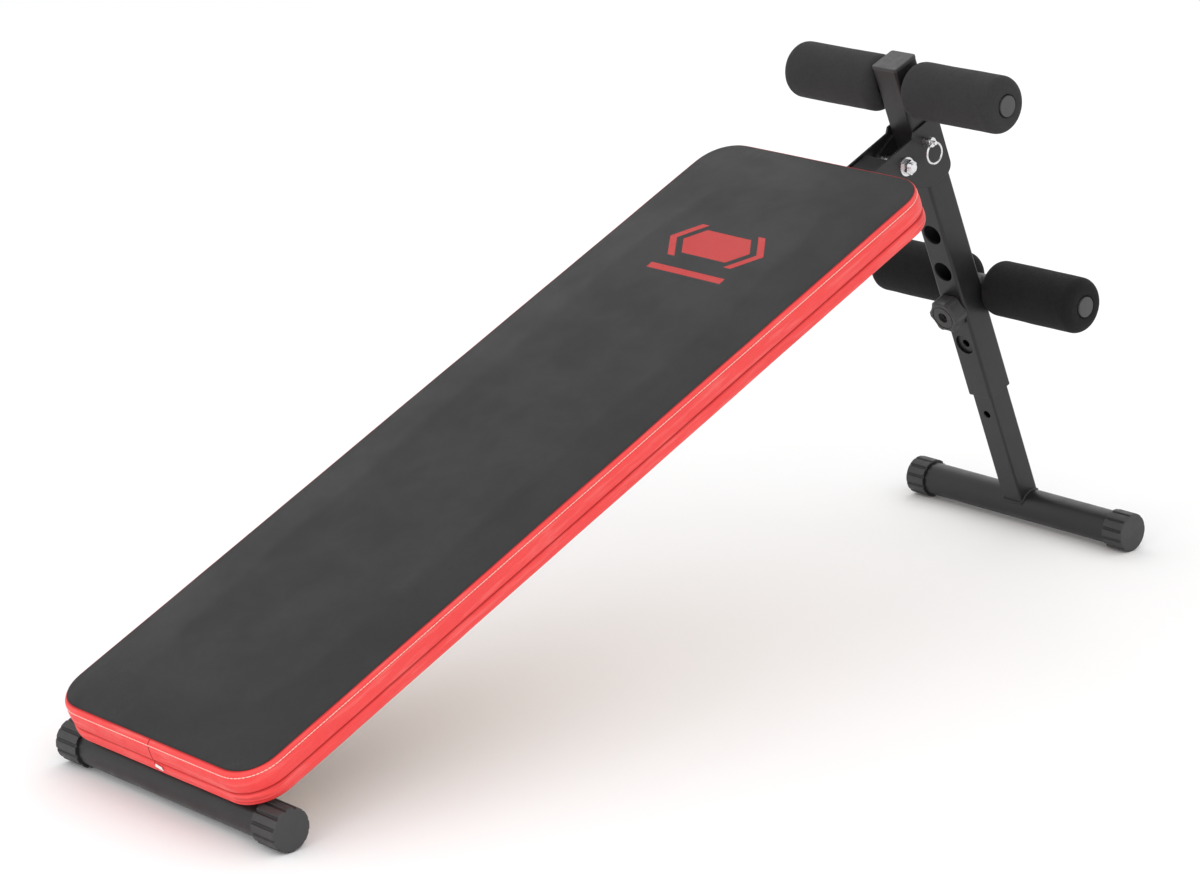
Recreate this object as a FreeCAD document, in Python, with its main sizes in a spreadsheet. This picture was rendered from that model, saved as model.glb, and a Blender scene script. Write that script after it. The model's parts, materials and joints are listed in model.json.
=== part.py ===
import FreeCAD, Part
import math
import os

import Sketcher

# Decline sit-up bench, millimetres.
# +X runs from the low end of the pad to the leg, +Y across the bench, +Z up.
# The origin lies on the floor under the middle of the bench's overall length.

V = FreeCAD.Vector
Placement = FreeCAD.Placement
Rotation = FreeCAD.Rotation
X_AXIS, Y_AXIS, Z_AXIS = V(1, 0, 0), V(0, 1, 0), V(0, 0, 1)
SIDES = {"left": 1, "right": -1}  # left is +Y, seen from the low end

SIZES = {
    # stance
    "wheelbase": 1320.0,
    "incline": 23.67,
    "lean": 21.82,
    # round feet and their end caps
    "foot_radius": 20.5,
    "foot_wall": 2.0,
    "cap_radius": 24.0,
    "cap_end": 6.0,
    "cap_round": 2.5,
    "cap_ribs": 12,
    "cap_groove": 2.3,
    "cap_groove_out": 0.5,
    "front_half": 186.4,
    "front_cap_length": 36.5,
    "rear_half": 177.5,
    "rear_cap_length": 29.0,
    # square tubes of the rail and the leg
    "tube_side": 38.0,
    "tube_wall": 2.0,
    "tube_corner": 3.5,
    "inner_side": 31.6,
    "inner_corner": 2.5,
    "inner_start": 5.0,
    # rail, along the incline from the low end of the pad
    "foot_along": 10.6,
    "foot_below": 27.0,
    "rail_top": 3.0,
    "rail_end": 1168.0,
    "rail_bevel": 18.0,
    "rail_bevel_drop": 9.5,
    # pad
    "pad_start": -5.0,
    "pad_length": 1097.6,
    "pad_width": 341.0,
    "pad_height": 44.7,
    "pad_corner": 45.0,
    "pad_edge": 5.0,
    "board_height": 12.0,
    "board_inset": 4.0,
    "soft_gap": 0.3,
    # cross bars under the pad and their screws
    "bar_length": 220.0,
    "bar_width": 35.0,
    "bar_low": 200.0,
    "bar_high": 880.0,
    "screw_spread": 170.0,
    "screw_radius": 3.0,
    "screw_head": 6.0,
    "screw_head_height": 4.0,
    "screw_room": 0.2,
    "nut_barrel": 4.0,
    "nut_flange": 9.0,
    "nut_flange_height": 1.4,
    # hinge plates beside the leg
    "cheek_gap": 19.5,
    "cheek_wall": 2.5,
    "cheek_start": 1060.0,
    "cheek_top": -1.5,
    "cheek_peak": 4.5,
    "cheek_front": 1217.5,
    "cheek_back": 1260.5,
    "cheek_low": 74.0,
    "cheek_round": 13.0,
    "cheek_corner": 2.0,
    "cheek_step": 5.0,
    "cheek_taper": 3.0,
    "pivot_along": 1190.0,
    "pivot_below": 26.0,
    "bolt_radius": 5.0,
    "bush_radius": 8.0,
    "lug_radius": 13.0,
    "lug_wall": 4.0,
    "lug_root": 20.8,
    "washer_radius": 11.4,
    "washer_height": 1.6,
    "nut_across": 16.0,
    "nut_height": 7.0,
    "nut_collar": 6.6,
    "nut_collar_height": 2.4,
    "nut_collar_round": 0.8,
    "bolt_tail": 1.2,
    # pull pin
    "pin_height": 541.0,
    "pin_offset": -7.0,
    "pin_radius": 4.0,
    "pin_barrel": 6.0,
    "pin_barrel_length": 12.0,
    "pin_barrel_end": 1.2,
    "pin_barrel_round": 0.8,
    "pin_collar": 3.0,
    "rod_radius": 2.5,
    "rod_length": 19.4,
    "ring_radius": 12.5,
    "ring_wire": 1.3,
    "ring_eye": 1.65,
    "ring_eye_edge": 2.4,
    "spring_wire": 0.4,
    "spring_turns": 4,
    "spring_room": 0.2,
    # leg
    "post_start": 175.0,
    "post_end": 640.5,
    "post_cap": 4.0,
    "post_cap_lip": 0.3,
    "post_cap_round": 1.2,
    "post_cap_stem": 12.0,
    "pin_hole_room": 0.3,
    "adjust_first": 252.4,
    "adjust_pitch": 53.2,
    "adjust_count": 4,
    "adjust_radius": 13.2,
    "inner_hole_first": 146.0,
    "inner_hole": 5.2,
    "inner_end": 330.0,
    "sleeve_length": 40.0,
    # rollers
    "roller_tube": 12.5,
    "roller_wall": 1.8,
    "foam_radius": 34.4,
    "foam_round": 13.0,
    "upper_height": 608.2,
    "upper_half": 167.0,
    "upper_inner": 23.5,
    "lower_behind": 37.7,
    "lower_half": 164.0,
    "lower_inner": 20.5,
    "foam_recess": 1.8,
    "plug_head": 2.6,
    "plug_depth": 14.0,
    "plug_round": 1.2,
    # clamp knob of the lower rollers
    "knob_radius": 22.0,
    "knob_height": 20.0,
    "knob_lobes": 6,
    "knob_notch": 30.0,
    "knob_notch_at": 49.4,
    "knob_round": 3.0,
    "knob_groove_outer": 15.6,
    "knob_groove_inner": 14.0,
    "knob_groove_depth": 1.0,
    "knob_recess": 6.8,
    "knob_recess_depth": 4.0,
    "knob_cover": 4.0,
    "collar_radius": 12.5,
    "collar_proud": 1.0,
    "stud_radius": 4.0,
    "thread_depth": 10.0,
    # running fits
    "fit": 0.05,
    "slide_fit": 0.1,
}

doc = FreeCAD.newDocument("sit_up_bench")
sheet = doc.addObject("Spreadsheet::Sheet", "Sizes")
for row, (name, value) in enumerate(SIZES.items(), start=1):
    sheet.set(f"A{row}", name)
    sheet.set(f"B{row}", str(value))
    sheet.setAlias(f"B{row}", name)
doc.recompute()

SUBPARTS = []


def size(name):
    """A driving dimension, read back from the sheet."""
    return float(sheet.get(name))


def bind(text):
    """An expression in which each $name stands for a cell of the sheet."""
    return text.replace("$", "Sizes.")


# ---------------------------------------------------------------- frames

FEET_HEIGHT = size("cap_radius")
rail_turn = Rotation(Y_AXIS, -size("incline"))
foot_to_rail = rail_turn.multVec(V(-size("foot_along"), 0, size("foot_below")))

# the pad's rounded top edge overhangs the front foot, and the rear caps end the other side
pad_edge = size("pad_edge")
edge_centre = rail_turn.multVec(V(size("pad_start") + pad_edge, 0, size("pad_height") - pad_edge))
overhang = pad_edge - foot_to_rail.x - edge_centre.x
FRONT_X = (overhang - size("cap_radius") - size("wheelbase")) / 2
REAR_X = FRONT_X + size("wheelbase")

# rail frame: local X up the incline, Z square to it and 0 under the pad, which starts at pad_start
RAIL = Placement(V(FRONT_X, 0, FEET_HEIGHT) + foot_to_rail, rail_turn)
PAD_MIDDLE = size("pad_start") + size("pad_length") / 2

# leg frame: local Z up the post, X square to it and away from the pad, origin on the rear foot's axis
LEG = Placement(V(REAR_X, 0, FEET_HEIGHT), Rotation(Y_AXIS, -size("lean")))

PIVOT = RAIL.multVec(V(size("pivot_along"), 0, -size("pivot_below")))
PIVOT_IN_LEG = LEG.inverse().multVec(PIVOT)


def at(frame, x=0.0, y=0.0, z=0.0, turn=None):
    """A place inside another frame."""
    return frame.multiply(Placement(V(x, y, z), turn or Rotation()))


def facing(side):
    """The turn that points a piece made along +Z outwards, to the left or the right."""
    return Rotation(X_AXIS, -90 * SIDES[side])


# ---------------------------------------------------------------- small builders


def new_body(label, placement):
    body = doc.addObject("PartDesign::Body", label)
    body.Label = label
    body.Placement = placement
    SUBPARTS.append(body)
    return body


def new_sketch(body, plane, offset=None):
    """A sketch on one of the body's own origin planes, lifted off it by the offset expression."""
    sketch = body.newObject("Sketcher::SketchObject", body.Label + "_sketch")
    origin = next(f for f in body.Origin.OriginFeatures if f.Role == plane)
    sketch.AttachmentSupport = (origin, [""])
    sketch.MapMode = "FlatFace"
    if offset:
        sketch.setExpression("AttachmentOffset.Base.z", bind(offset))
    return sketch


def pin_down(sketch, geometry, point, x, y):
    """Hold a point of the sketch at x, y, both given as expressions."""
    for kind, axis, text in (("DistanceX", -2, x), ("DistanceY", -1, y)):
        if text == "0":
            sketch.addConstraint(Sketcher.Constraint("PointOnObject", geometry, point, axis))
            continue
        value = float(sketch.evalExpression(bind(text)))
        index = sketch.addConstraint(Sketcher.Constraint(kind, -1, 1, geometry, point, value))
        sketch.setExpression(f"Constraints[{index}]", bind(text))


def add_circle(sketch, radius, x="0", y="0"):
    """A circle whose radius and centre are expressions."""
    centre = [float(sketch.evalExpression(bind(text))) for text in (x, y)]
    start = float(sketch.evalExpression(bind(radius)))
    geometry = sketch.addGeometry(Part.Circle(V(*centre, 0), Z_AXIS, start), False)
    index = sketch.addConstraint(Sketcher.Constraint("Radius", geometry, start))
    sketch.setExpression(f"Constraints[{index}]", bind(radius))
    pin_down(sketch, geometry, 3, x, y)


def add_polygon(sketch, points):
    """A closed outline through points given as pairs of expressions."""
    places = [[float(sketch.evalExpression(bind(t))) for t in point] for point in points]
    lines = []
    for here, there in zip(places, places[1:] + places[:1]):
        lines.append(sketch.addGeometry(Part.LineSegment(V(*here, 0), V(*there, 0)), False))
    for line, following in zip(lines, lines[1:] + lines[:1]):
        sketch.addConstraint(Sketcher.Constraint("Coincident", line, 2, following, 1))
    for line, (x, y) in zip(lines, points):
        pin_down(sketch, line, 1, x, y)


def add_box(sketch, width, height):
    """A rectangle about the sketch's own centre."""
    half_w, half_h = f"({width}) / 2", f"({height}) / 2"
    corners = ((-1, -1), (1, -1), (1, 1), (-1, 1))
    add_polygon(sketch, [(f"{a} * {half_w}", f"{b} * {half_h}") for a, b in corners])


def feature(body, kind, profile, length=None, symmetric=False, reverse=False):
    """A pad or a pocket; with no length it runs through everything, both ways."""
    made = body.newObject("PartDesign::" + kind, body.Label + "_" + kind.lower())
    made.Profile = profile
    if length is None:
        made.Type = "ThroughAll"
        made.SideType = "Symmetric"
    else:
        made.setExpression("Length", bind(length))
        made.SideType = "Symmetric" if symmetric else "One side"
        made.Reversed = reverse
    doc.recompute()
    return made


def cut(body, profile, **how):
    """A pocket that must take some material away."""
    before = body.Tip.Shape.Volume
    made = feature(body, "Pocket", profile, **how)
    if made.Shape.Volume > before - 1e-6:
        raise RuntimeError(f"{body.Label}: a pocket cuts nothing")
    return made


def edges_where(made, test):
    """The names of the feature's edges that pass the test."""
    return [f"Edge{i}" for i, e in enumerate(made.Shape.Edges, start=1) if test(e)]


def fillet(body, radius, test):
    """Round the edges that pass the test."""
    base = body.Tip
    names = edges_where(base, test)
    if not names:
        raise RuntimeError(f"{body.Label}: no edges to round")
    made = body.newObject("PartDesign::Fillet", body.Label + "_fillet")
    made.Base = (base, names)
    made.setExpression("Radius", bind(radius))
    doc.recompute()
    return made


def runs_along(edge, axis):
    """True for a straight edge parallel to the axis."""
    if not isinstance(edge.Curve, Part.Line):
        return False
    return abs(abs(edge.Curve.Direction.dot(axis)) - 1) < 1e-6


def is_round(edge, radius, at_z=None):
    """True for a full circle of this radius, at this height if one is given."""
    if not isinstance(edge.Curve, Part.Circle) or abs(edge.Curve.Radius - radius) > 1e-4:
        return False
    return at_z is None or abs(edge.Curve.Center.z - at_z) < 1e-4


def around_z(body, made, count):
    """Repeat a feature round the body's own Z axis."""
    pattern = body.newObject("PartDesign::PolarPattern", body.Label + "_pattern")
    pattern.Originals = [made]
    axis = next(f for f in body.Origin.OriginFeatures if f.Role == "Z_Axis")
    pattern.Axis = (axis, [""])
    pattern.Angle = 360
    pattern.setExpression("Occurrences", bind(count))
    body.Tip = pattern
    doc.recompute()
    return pattern


def group(label, pieces, placement):
    """One sub-part of several loose solids that are all alike."""
    made = doc.addObject("Part::Compound", label)
    made.Links = pieces
    made.Label = label
    made.Placement = placement
    SUBPARTS.append(made)
    return made


def cylinder(name, radius, height, z="0", x=0.0, y=0.0):
    """A Part cylinder along +Z, its radius, height and base height bound to the sheet."""
    made = doc.addObject("Part::Cylinder", name)
    made.setExpression("Radius", bind(radius))
    made.setExpression("Height", bind(height))
    made.Placement.Base = V(x, y, 0)
    made.setExpression("Placement.Base.z", bind(z))
    return made


def boolean(kind, name, first, second):
    """A Part cut or fuse of two objects."""
    made = doc.addObject("Part::" + kind, name)
    made.Base = first
    made.Tool = second
    return made


# ---------------------------------------------------------------- tubes


def square_tube(label, placement, side, corner, length, plane="XY_Plane"):
    """A square tube with rounded corners, along the normal of the plane it starts on."""
    body = new_body(label, placement)
    sketch = new_sketch(body, plane)
    add_box(sketch, side, side)
    feature(body, "Pad", sketch, length=length)
    axis = Z_AXIS if plane == "XY_Plane" else X_AXIS
    fillet(body, corner, lambda e: runs_along(e, axis))
    hollow = new_sketch(body, plane)
    add_box(hollow, f"{side} - 2 * $tube_wall", f"{side} - 2 * $tube_wall")
    cut(body, hollow)
    return body


def round_tube(label, placement, radius, wall, half):
    """A round tube along Y, centred on its own origin."""
    body = new_body(label, placement)
    sketch = new_sketch(body, "XZ_Plane")
    add_circle(sketch, radius)
    add_circle(sketch, f"{radius} - {wall}")
    feature(body, "Pad", sketch, length=f"2 * ({half})", symmetric=True)
    return body


# ---------------------------------------------------------------- feet


def foot_cap(label, placement, length):
    """A fluted plastic cap, open at z = 0, closed at its outer end."""
    body = new_body(label, placement)
    outline = new_sketch(body, "XY_Plane")
    add_circle(outline, "$cap_radius")
    feature(body, "Pad", outline, length=length)
    radius = size("cap_radius")
    end = float(body.evalExpression(bind(length)))
    fillet(body, "$cap_round", lambda e: is_round(e, radius, end))
    socket = new_sketch(body, "XY_Plane")
    add_circle(socket, "$foot_radius")
    cut(body, socket, length=f"{length} - $cap_end", reverse=True)
    groove = new_sketch(body, "XY_Plane")
    add_circle(groove, "$cap_groove", x="$cap_radius + $cap_groove_out")
    flute = cut(body, groove)
    around_z(body, flute, "$cap_ribs")


def foot(name, x, half, cap_length):
    """A round foot across the bench with a cap on each end."""
    frame = Placement(V(x, 0, FEET_HEIGHT), Rotation())
    round_tube(f"{name}_foot_tube", frame, "$foot_radius", "$foot_wall", f"${half} - $cap_end")
    half_flute = 180 / size("cap_ribs")
    for side, sign in SIDES.items():
        start = size(half) - size(cap_length)
        turn = facing(side).multiply(Rotation(Z_AXIS, half_flute))
        foot_cap(f"{name}_foot_cap_{side}", at(frame, y=sign * start, turn=turn), f"${cap_length}")


# ---------------------------------------------------------------- rail and pad


def main_rail():
    """The inclined square tube, coped over the front foot and bevelled beside the pivot."""
    middle = "(-1 * $rail_top - $tube_side / 2)"
    centre = -size("rail_top") - size("tube_side") / 2
    start = size("foot_along")
    body = square_tube(
        "main_rail",
        at(RAIL, x=start, z=centre),
        "$tube_side",
        "$tube_corner",
        "$rail_end - $foot_along",
        plane="YZ_Plane",
    )
    saddle = new_sketch(body, "XZ_Plane")
    add_circle(saddle, "$foot_radius", y=f"-1 * $foot_below - {middle}")
    cut(body, saddle)
    bevel = new_sketch(body, "XZ_Plane")
    end, low = "$rail_end - $foot_along", "-1 * $tube_side"
    past = f"{end} + $tube_wall"
    corners = ((f"{end} - $rail_bevel", low), (past, low), (past, "$rail_bevel_drop"))
    add_polygon(bevel, corners)
    cut(body, bevel)


def cross_bar(label, along):
    """A flat bar on top of the rail that the pad is screwed to."""
    body = new_body(label, at(RAIL, x=size(along), z=-size("rail_top")))
    outline = new_sketch(body, "XY_Plane")
    add_box(outline, "$bar_width", "$bar_length")
    feature(body, "Pad", outline, length="$rail_top")
    holes = new_sketch(body, "XY_Plane")
    for sign in SIDES.values():
        add_circle(holes, "$screw_radius + $screw_room", y=f"{sign} * $screw_spread / 2")
    cut(body, holes)


def screw_places():
    """Where the pad's screws stand, as X and Y in the rail frame."""
    for along in ("bar_low", "bar_high"):
        for sign in SIDES.values():
            yield size(along), sign * size("screw_spread") / 2


def pad_screws():
    """Four screws with round heads, up through the bars."""
    pieces = []
    for i, (x, y) in enumerate(screw_places()):
        head_base = "-1 * $rail_top - $screw_head_height"
        head = cylinder(f"screw_head_{i}", "$screw_head", "$screw_head_height", head_base, x, y)
        length = "$rail_top + $board_height"
        shank = cylinder(f"screw_shank_{i}", "$screw_radius", length, "-1 * $rail_top", x, y)
        pieces.append(boolean("Fuse", f"screw_{i}", head, shank))
    group("pad_screws", pieces, RAIL)


def pad_tee_nuts():
    """Four flanged nuts let into the board from above."""
    pieces = []
    for i, (x, y) in enumerate(screw_places()):
        barrel = cylinder(f"nut_barrel_{i}", "$nut_barrel", "$board_height", "0", x, y)
        flange_base = "$board_height - $nut_flange_height"
        flange = cylinder(f"nut_flange_{i}", "$nut_flange", "$nut_flange_height", flange_base, x, y)
        solid = boolean("Fuse", f"nut_solid_{i}", barrel, flange)
        hole = cylinder(f"nut_hole_{i}", "$screw_radius + $fit", "$board_height", "0", x, y)
        pieces.append(boolean("Cut", f"nut_{i}", solid, hole))
    group("pad_tee_nuts", pieces, RAIL)


def pad_outline(body, inset, plane_offset=None):
    """The pad's rectangle, drawn in by the inset."""
    sketch = new_sketch(body, "XY_Plane", plane_offset)
    add_box(sketch, f"$pad_length - 2 * ({inset})", f"$pad_width - 2 * ({inset})")
    return sketch


def pad_board():
    """The plywood board inside the pad, drilled for the tee nuts."""
    body = new_body("pad_board", at(RAIL, x=PAD_MIDDLE))
    feature(body, "Pad", pad_outline(body, "$board_inset"), length="$board_height")
    fillet(body, "$pad_corner - $board_inset", lambda e: runs_along(e, Z_AXIS))
    for radius, base in (("$nut_barrel", None), ("$nut_flange", "$board_height - $nut_flange_height")):
        holes = new_sketch(body, "XY_Plane", base)
        for along in ("$bar_low", "$bar_high"):
            for sign in SIDES.values():
                hole_along = f"{along} - $pad_start - $pad_length / 2"
                add_circle(holes, radius, hole_along, f"{sign} * $screw_spread / 2")
        if base:
            cut(body, holes, length="$nut_flange_height", reverse=True)
        else:
            cut(body, holes)


def pad_cushion():
    """The upholstered pad, hollowed from below for its board."""
    body = new_body("pad_cushion", at(RAIL, x=PAD_MIDDLE))
    feature(body, "Pad", pad_outline(body, "0"), length="$pad_height")
    well = pad_outline(body, "$board_inset - $soft_gap")
    cut(body, well, length="$board_height + $soft_gap", reverse=True)
    height = size("pad_height")
    fillet(
        body,
        "$pad_corner - $board_inset + $soft_gap",
        lambda e: runs_along(e, Z_AXIS) and e.Length < height - 1,
    )
    fillet(body, "$pad_corner", lambda e: runs_along(e, Z_AXIS) and e.Length > height - 1)
    fillet(body, "$pad_edge", lambda e: e.BoundBox.ZMin > height - 1e-4)


# ---------------------------------------------------------------- hinge at the high end


def rail_point(along, below):
    """A point of the rail frame as offsets from the pivot, both expressions."""
    return f"({along}) - $pivot_along", f"({below}) + $pivot_below"


def hinge_cheek(side):
    """A plate beside the rail and the leg that holds the pivot bolt and the pull pin."""
    middle = size("cheek_gap") + size("cheek_wall") / 2
    place = at(RAIL, x=size("pivot_along"), y=SIDES[side] * middle, z=-size("pivot_below"))
    body = new_body(f"hinge_cheek_{side}", place)
    outline = new_sketch(body, "XZ_Plane")
    rail_bottom = "-1 * $rail_top - $tube_side"
    corners = (
        ("$cheek_start", "$cheek_top"),
        ("$cheek_start", rail_bottom),
        ("$rail_end", rail_bottom),
        ("$cheek_front", "-1 * $cheek_low"),
        ("$cheek_back - $cheek_taper", "-1 * $cheek_low"),
        ("$cheek_back", "$cheek_peak"),
        ("$cheek_front", "$cheek_peak"),
        ("$cheek_front - $cheek_step", "$cheek_top"),
    )
    add_polygon(outline, [rail_point(*corner) for corner in corners])
    feature(body, "Pad", outline, length="$cheek_wall", symmetric=True)
    low = size("pivot_below") - size("cheek_low")
    high = size("pivot_below") + size("cheek_peak")
    fillet(body, "$cheek_round", lambda e: runs_along(e, Y_AXIS) and abs(e.BoundBox.ZMin - low) < 1e-4)
    fillet(body, "$cheek_corner", lambda e: runs_along(e, Y_AXIS) and abs(e.BoundBox.ZMin - high) < 1e-4)
    holes = new_sketch(body, "XZ_Plane")
    add_circle(holes, "$bolt_radius")
    if side == "right":
        pin = RAIL.inverse().multVec(LEG.multVec(V(size("pin_offset"), 0, size("pin_height"))))
        add_circle(holes, "$pin_radius + $fit", *rail_point(f"{pin.x:.6f}", f"{pin.z:.6f}"))
    cut(body, holes)


def hex_prism(body, across, length, offset=None):
    """A hexagonal prism along +Z."""
    sketch = new_sketch(body, "XY_Plane", offset)
    points = []
    for i in range(6):
        angle = math.radians(60 * i + 30)
        reach = f"{across} / (2 * cos(30))"
        points.append((f"{math.cos(angle):.9f} * {reach}", f"{math.sin(angle):.9f} * {reach}"))
    # corners that fall on an axis are held to it
    points = [tuple("0" if abs(float(t.split(" ")[0])) < 1e-6 else t for t in p) for p in points]
    add_polygon(sketch, points)
    return feature(body, "Pad", sketch, length=length)


def pivot_hardware():
    """The hinge bolt from the left side, its two washers and its nut."""
    outer = size("cheek_gap") + size("cheek_wall")
    washer = size("washer_height")
    body = new_body("pivot_bolt", Placement(PIVOT + V(0, outer + washer, 0), facing("left")))
    hex_prism(body, "$nut_across", "$nut_height")
    shank = new_sketch(body, "XY_Plane")
    add_circle(shank, "$bolt_radius")
    sandwich = "2 * ($cheek_gap + $cheek_wall + $washer_height)"
    grip = f"{sandwich} + $nut_height + $nut_collar_height + $bolt_tail"
    feature(body, "Pad", shank, length=grip, reverse=True)
    nut = new_body("pivot_nut", Placement(PIVOT - V(0, outer + washer, 0), facing("right")))
    hex_prism(nut, "$nut_across", "$nut_height")
    collar = new_sketch(nut, "XY_Plane")
    add_circle(collar, "$nut_collar")
    top = size("nut_height") + size("nut_collar_height")
    feature(nut, "Pad", collar, length="$nut_height + $nut_collar_height")
    fillet(nut, "$nut_collar_round", lambda e: is_round(e, size("nut_collar"), top))
    bore = new_sketch(nut, "XY_Plane")
    add_circle(bore, "$bolt_radius")
    cut(nut, bore)
    pieces = []
    for side in SIDES:
        disc = cylinder(f"washer_disc_{side}", "$washer_radius", "$washer_height")
        hole = cylinder(f"washer_hole_{side}", "$bolt_radius", "$washer_height")
        ring = boolean("Cut", f"washer_{side}", disc, hole)
        ring.Placement = Placement(V(0, SIDES[side] * outer, 0), facing(side))
        pieces.append(ring)
    group("pivot_washers", pieces, Placement(PIVOT, Rotation()))


def pin_place(y):
    """A point on the pull pin's axis."""
    return LEG.multVec(V(size("pin_offset"), y, size("pin_height")))


def pull_pin():
    """The spring plunger through the right cheek: barrel, pin, spring and ring."""
    outer = size("cheek_gap") + size("cheek_wall")
    length = size("pin_barrel_length")
    barrel = new_body("pull_pin_barrel", Placement(pin_place(-outer), facing("right")))
    wall = new_sketch(barrel, "XY_Plane")
    add_circle(wall, "$pin_barrel")
    feature(barrel, "Pad", wall, length="$pin_barrel_length")
    bore = new_sketch(barrel, "XY_Plane")
    add_circle(bore, "$pin_radius + $fit")
    cut(barrel, bore, length="$pin_barrel_length - $pin_barrel_end", reverse=True)
    mouth = new_sketch(barrel, "XY_Plane")
    add_circle(mouth, "$rod_radius + $fit")
    cut(barrel, mouth)
    fillet(barrel, "$pin_barrel_round", lambda e: is_round(e, size("pin_barrel"), length))

    pin = new_body("pull_pin", Placement(pin_place(-size("cheek_gap")), facing("right")))
    nose = new_sketch(pin, "XY_Plane")
    add_circle(nose, "$pin_radius")
    feature(pin, "Pad", nose, length="$cheek_wall + $pin_collar")
    rod = new_sketch(pin, "XY_Plane")
    add_circle(rod, "$rod_radius")
    feature(pin, "Pad", rod, length="$rod_length")
    eye = new_sketch(pin, "YZ_Plane")
    add_circle(eye, "$ring_eye", y="$rod_length - $ring_eye_edge")
    cut(pin, eye)

    coils = doc.addObject("Part::Helix", "spring_path")
    coils.setExpression("Radius", bind("$pin_radius - $spring_wire - 2 * $fit"))
    room = "$pin_barrel_length - $pin_barrel_end - $pin_collar"
    height = f"({room} - 2 * $spring_wire - 2 * $spring_room)"
    coils.setExpression("Pitch", bind(f"{height} / $spring_turns"))
    coils.setExpression("Height", bind(height))
    wire = doc.addObject("Part::Circle", "spring_wire")
    wire.setExpression("Radius", bind("$spring_wire"))
    wire.Placement = Placement(V(0, 0, 0), Rotation(X_AXIS, 90))
    wire.setExpression("Placement.Base.x", bind("$pin_radius - $spring_wire - 2 * $fit"))
    spring = doc.addObject("Part::Sweep", "pull_pin_spring")
    spring.Sections = [wire]
    spring.Spine = (coils, [])
    spring.Solid = True
    spring.Frenet = True
    spring.Label = "pull_pin_spring"
    base = outer + size("pin_collar") + size("spring_wire") + size("spring_room")
    spring.Placement = Placement(pin_place(-base), facing("right"))
    SUBPARTS.append(spring)

    ring = doc.addObject("Part::Torus", "pull_ring")
    ring.setExpression("Radius1", bind("$ring_radius"))
    ring.setExpression("Radius2", bind("$ring_wire"))
    ring.Label = "pull_ring"
    hole = pin_place(-size("cheek_gap") - size("rod_length") + size("ring_eye_edge"))
    hang = V(0, 0, -size("ring_radius"))
    ring.Placement = Placement(hole + hang, Rotation(X_AXIS, 90))
    SUBPARTS.append(ring)


# ---------------------------------------------------------------- leg


def leg_post():
    """The outer square tube of the leg with its row of large holes."""
    body = square_tube(
        "leg_post",
        at(LEG, z=size("post_start")),
        "$tube_side",
        "$tube_corner",
        "$post_end - $post_start",
    )
    row = new_sketch(body, "YZ_Plane")
    for i in range(int(size("adjust_count"))):
        add_circle(row, "$adjust_radius", y=f"$adjust_first + {i} * $adjust_pitch - $post_start")
    cut(body, row)
    across = new_sketch(body, "XZ_Plane")
    add_circle(across, "$roller_tube", y="$upper_height - $post_start")
    add_circle(across, "$pin_radius + $pin_hole_room", "$pin_offset", "$pin_height - $post_start")
    cut(body, across)


def post_cap():
    """The plastic plug in the top of the post."""
    body = new_body("post_cap", at(LEG, z=size("post_end")))
    head = new_sketch(body, "XY_Plane")
    add_box(head, "$tube_side + 2 * $post_cap_lip", "$tube_side + 2 * $post_cap_lip")
    feature(body, "Pad", head, length="$post_cap")
    fillet(body, "$tube_corner", lambda e: runs_along(e, Z_AXIS))
    top = size("post_cap")
    fillet(body, "$post_cap_round", lambda e: abs(e.BoundBox.ZMin - top) < 1e-4)
    stem = new_sketch(body, "XY_Plane")
    add_box(stem, "$tube_side - 2 * $tube_wall", "$tube_side - 2 * $tube_wall")
    feature(body, "Pad", stem, length="$post_cap_stem", reverse=True)


def hinge_lug(side):
    """A plate welded to the front of the post that carries one end of the pivot bush."""
    middle = size("tube_side") / 2 - size("lug_wall") / 2
    place = at(LEG, PIVOT_IN_LEG.x, SIDES[side] * middle, PIVOT_IN_LEG.z)
    body = new_body(f"hinge_lug_{side}", place)
    eye = new_sketch(body, "XZ_Plane")
    add_circle(eye, "$lug_radius")
    feature(body, "Pad", eye, length="$lug_wall", symmetric=True)
    web = new_sketch(body, "XZ_Plane")
    reach = f"{-PIVOT_IN_LEG.x:.6f} - $tube_side / 2"
    add_polygon(
        web,
        [("0", "-1 * $lug_radius"), (reach, "-1 * $lug_root"), (reach, "$lug_root"), ("0", "$lug_radius")],
    )
    feature(body, "Pad", web, length="$lug_wall", symmetric=True)
    bore = new_sketch(body, "XZ_Plane")
    add_circle(bore, "$bush_radius")
    cut(body, bore)


def pivot_bush():
    """The steel tube through both lugs that turns on the pivot bolt."""
    bush = new_body("pivot_bush", at(LEG, PIVOT_IN_LEG.x, 0, PIVOT_IN_LEG.z))
    sketch = new_sketch(bush, "XZ_Plane")
    add_circle(sketch, "$bush_radius")
    add_circle(sketch, "$bolt_radius + $fit")
    feature(bush, "Pad", sketch, length="$tube_side", symmetric=True)


def leg_sleeve():
    """The plastic guide in the lower end of the post, round the inner tube."""
    body = new_body("leg_sleeve", at(LEG, z=size("post_start")))
    outline = new_sketch(body, "XY_Plane")
    add_box(outline, "$tube_side - 2 * $tube_wall", "$tube_side - 2 * $tube_wall")
    feature(body, "Pad", outline, length="$sleeve_length")
    hollow = new_sketch(body, "XY_Plane")
    add_box(hollow, "$inner_side + 2 * $slide_fit", "$inner_side + 2 * $slide_fit")
    cut(body, hollow)


def leg_inner_tube():
    """The inner square tube, coped over the rear foot, with its row of stud holes."""
    place = at(LEG, z=size("inner_start"))
    body = square_tube("leg_inner_tube", place, "$inner_side", "$inner_corner", "$inner_end - $inner_start")
    saddle = new_sketch(body, "XZ_Plane")
    add_circle(saddle, "$foot_radius", y="-1 * $inner_start")
    cut(body, saddle)
    row = new_sketch(body, "YZ_Plane")
    for i in range(int(size("adjust_count"))):
        add_circle(row, "$inner_hole", y=f"$inner_hole_first + {i} * $adjust_pitch - $inner_start")
    cut(body, row)


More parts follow.
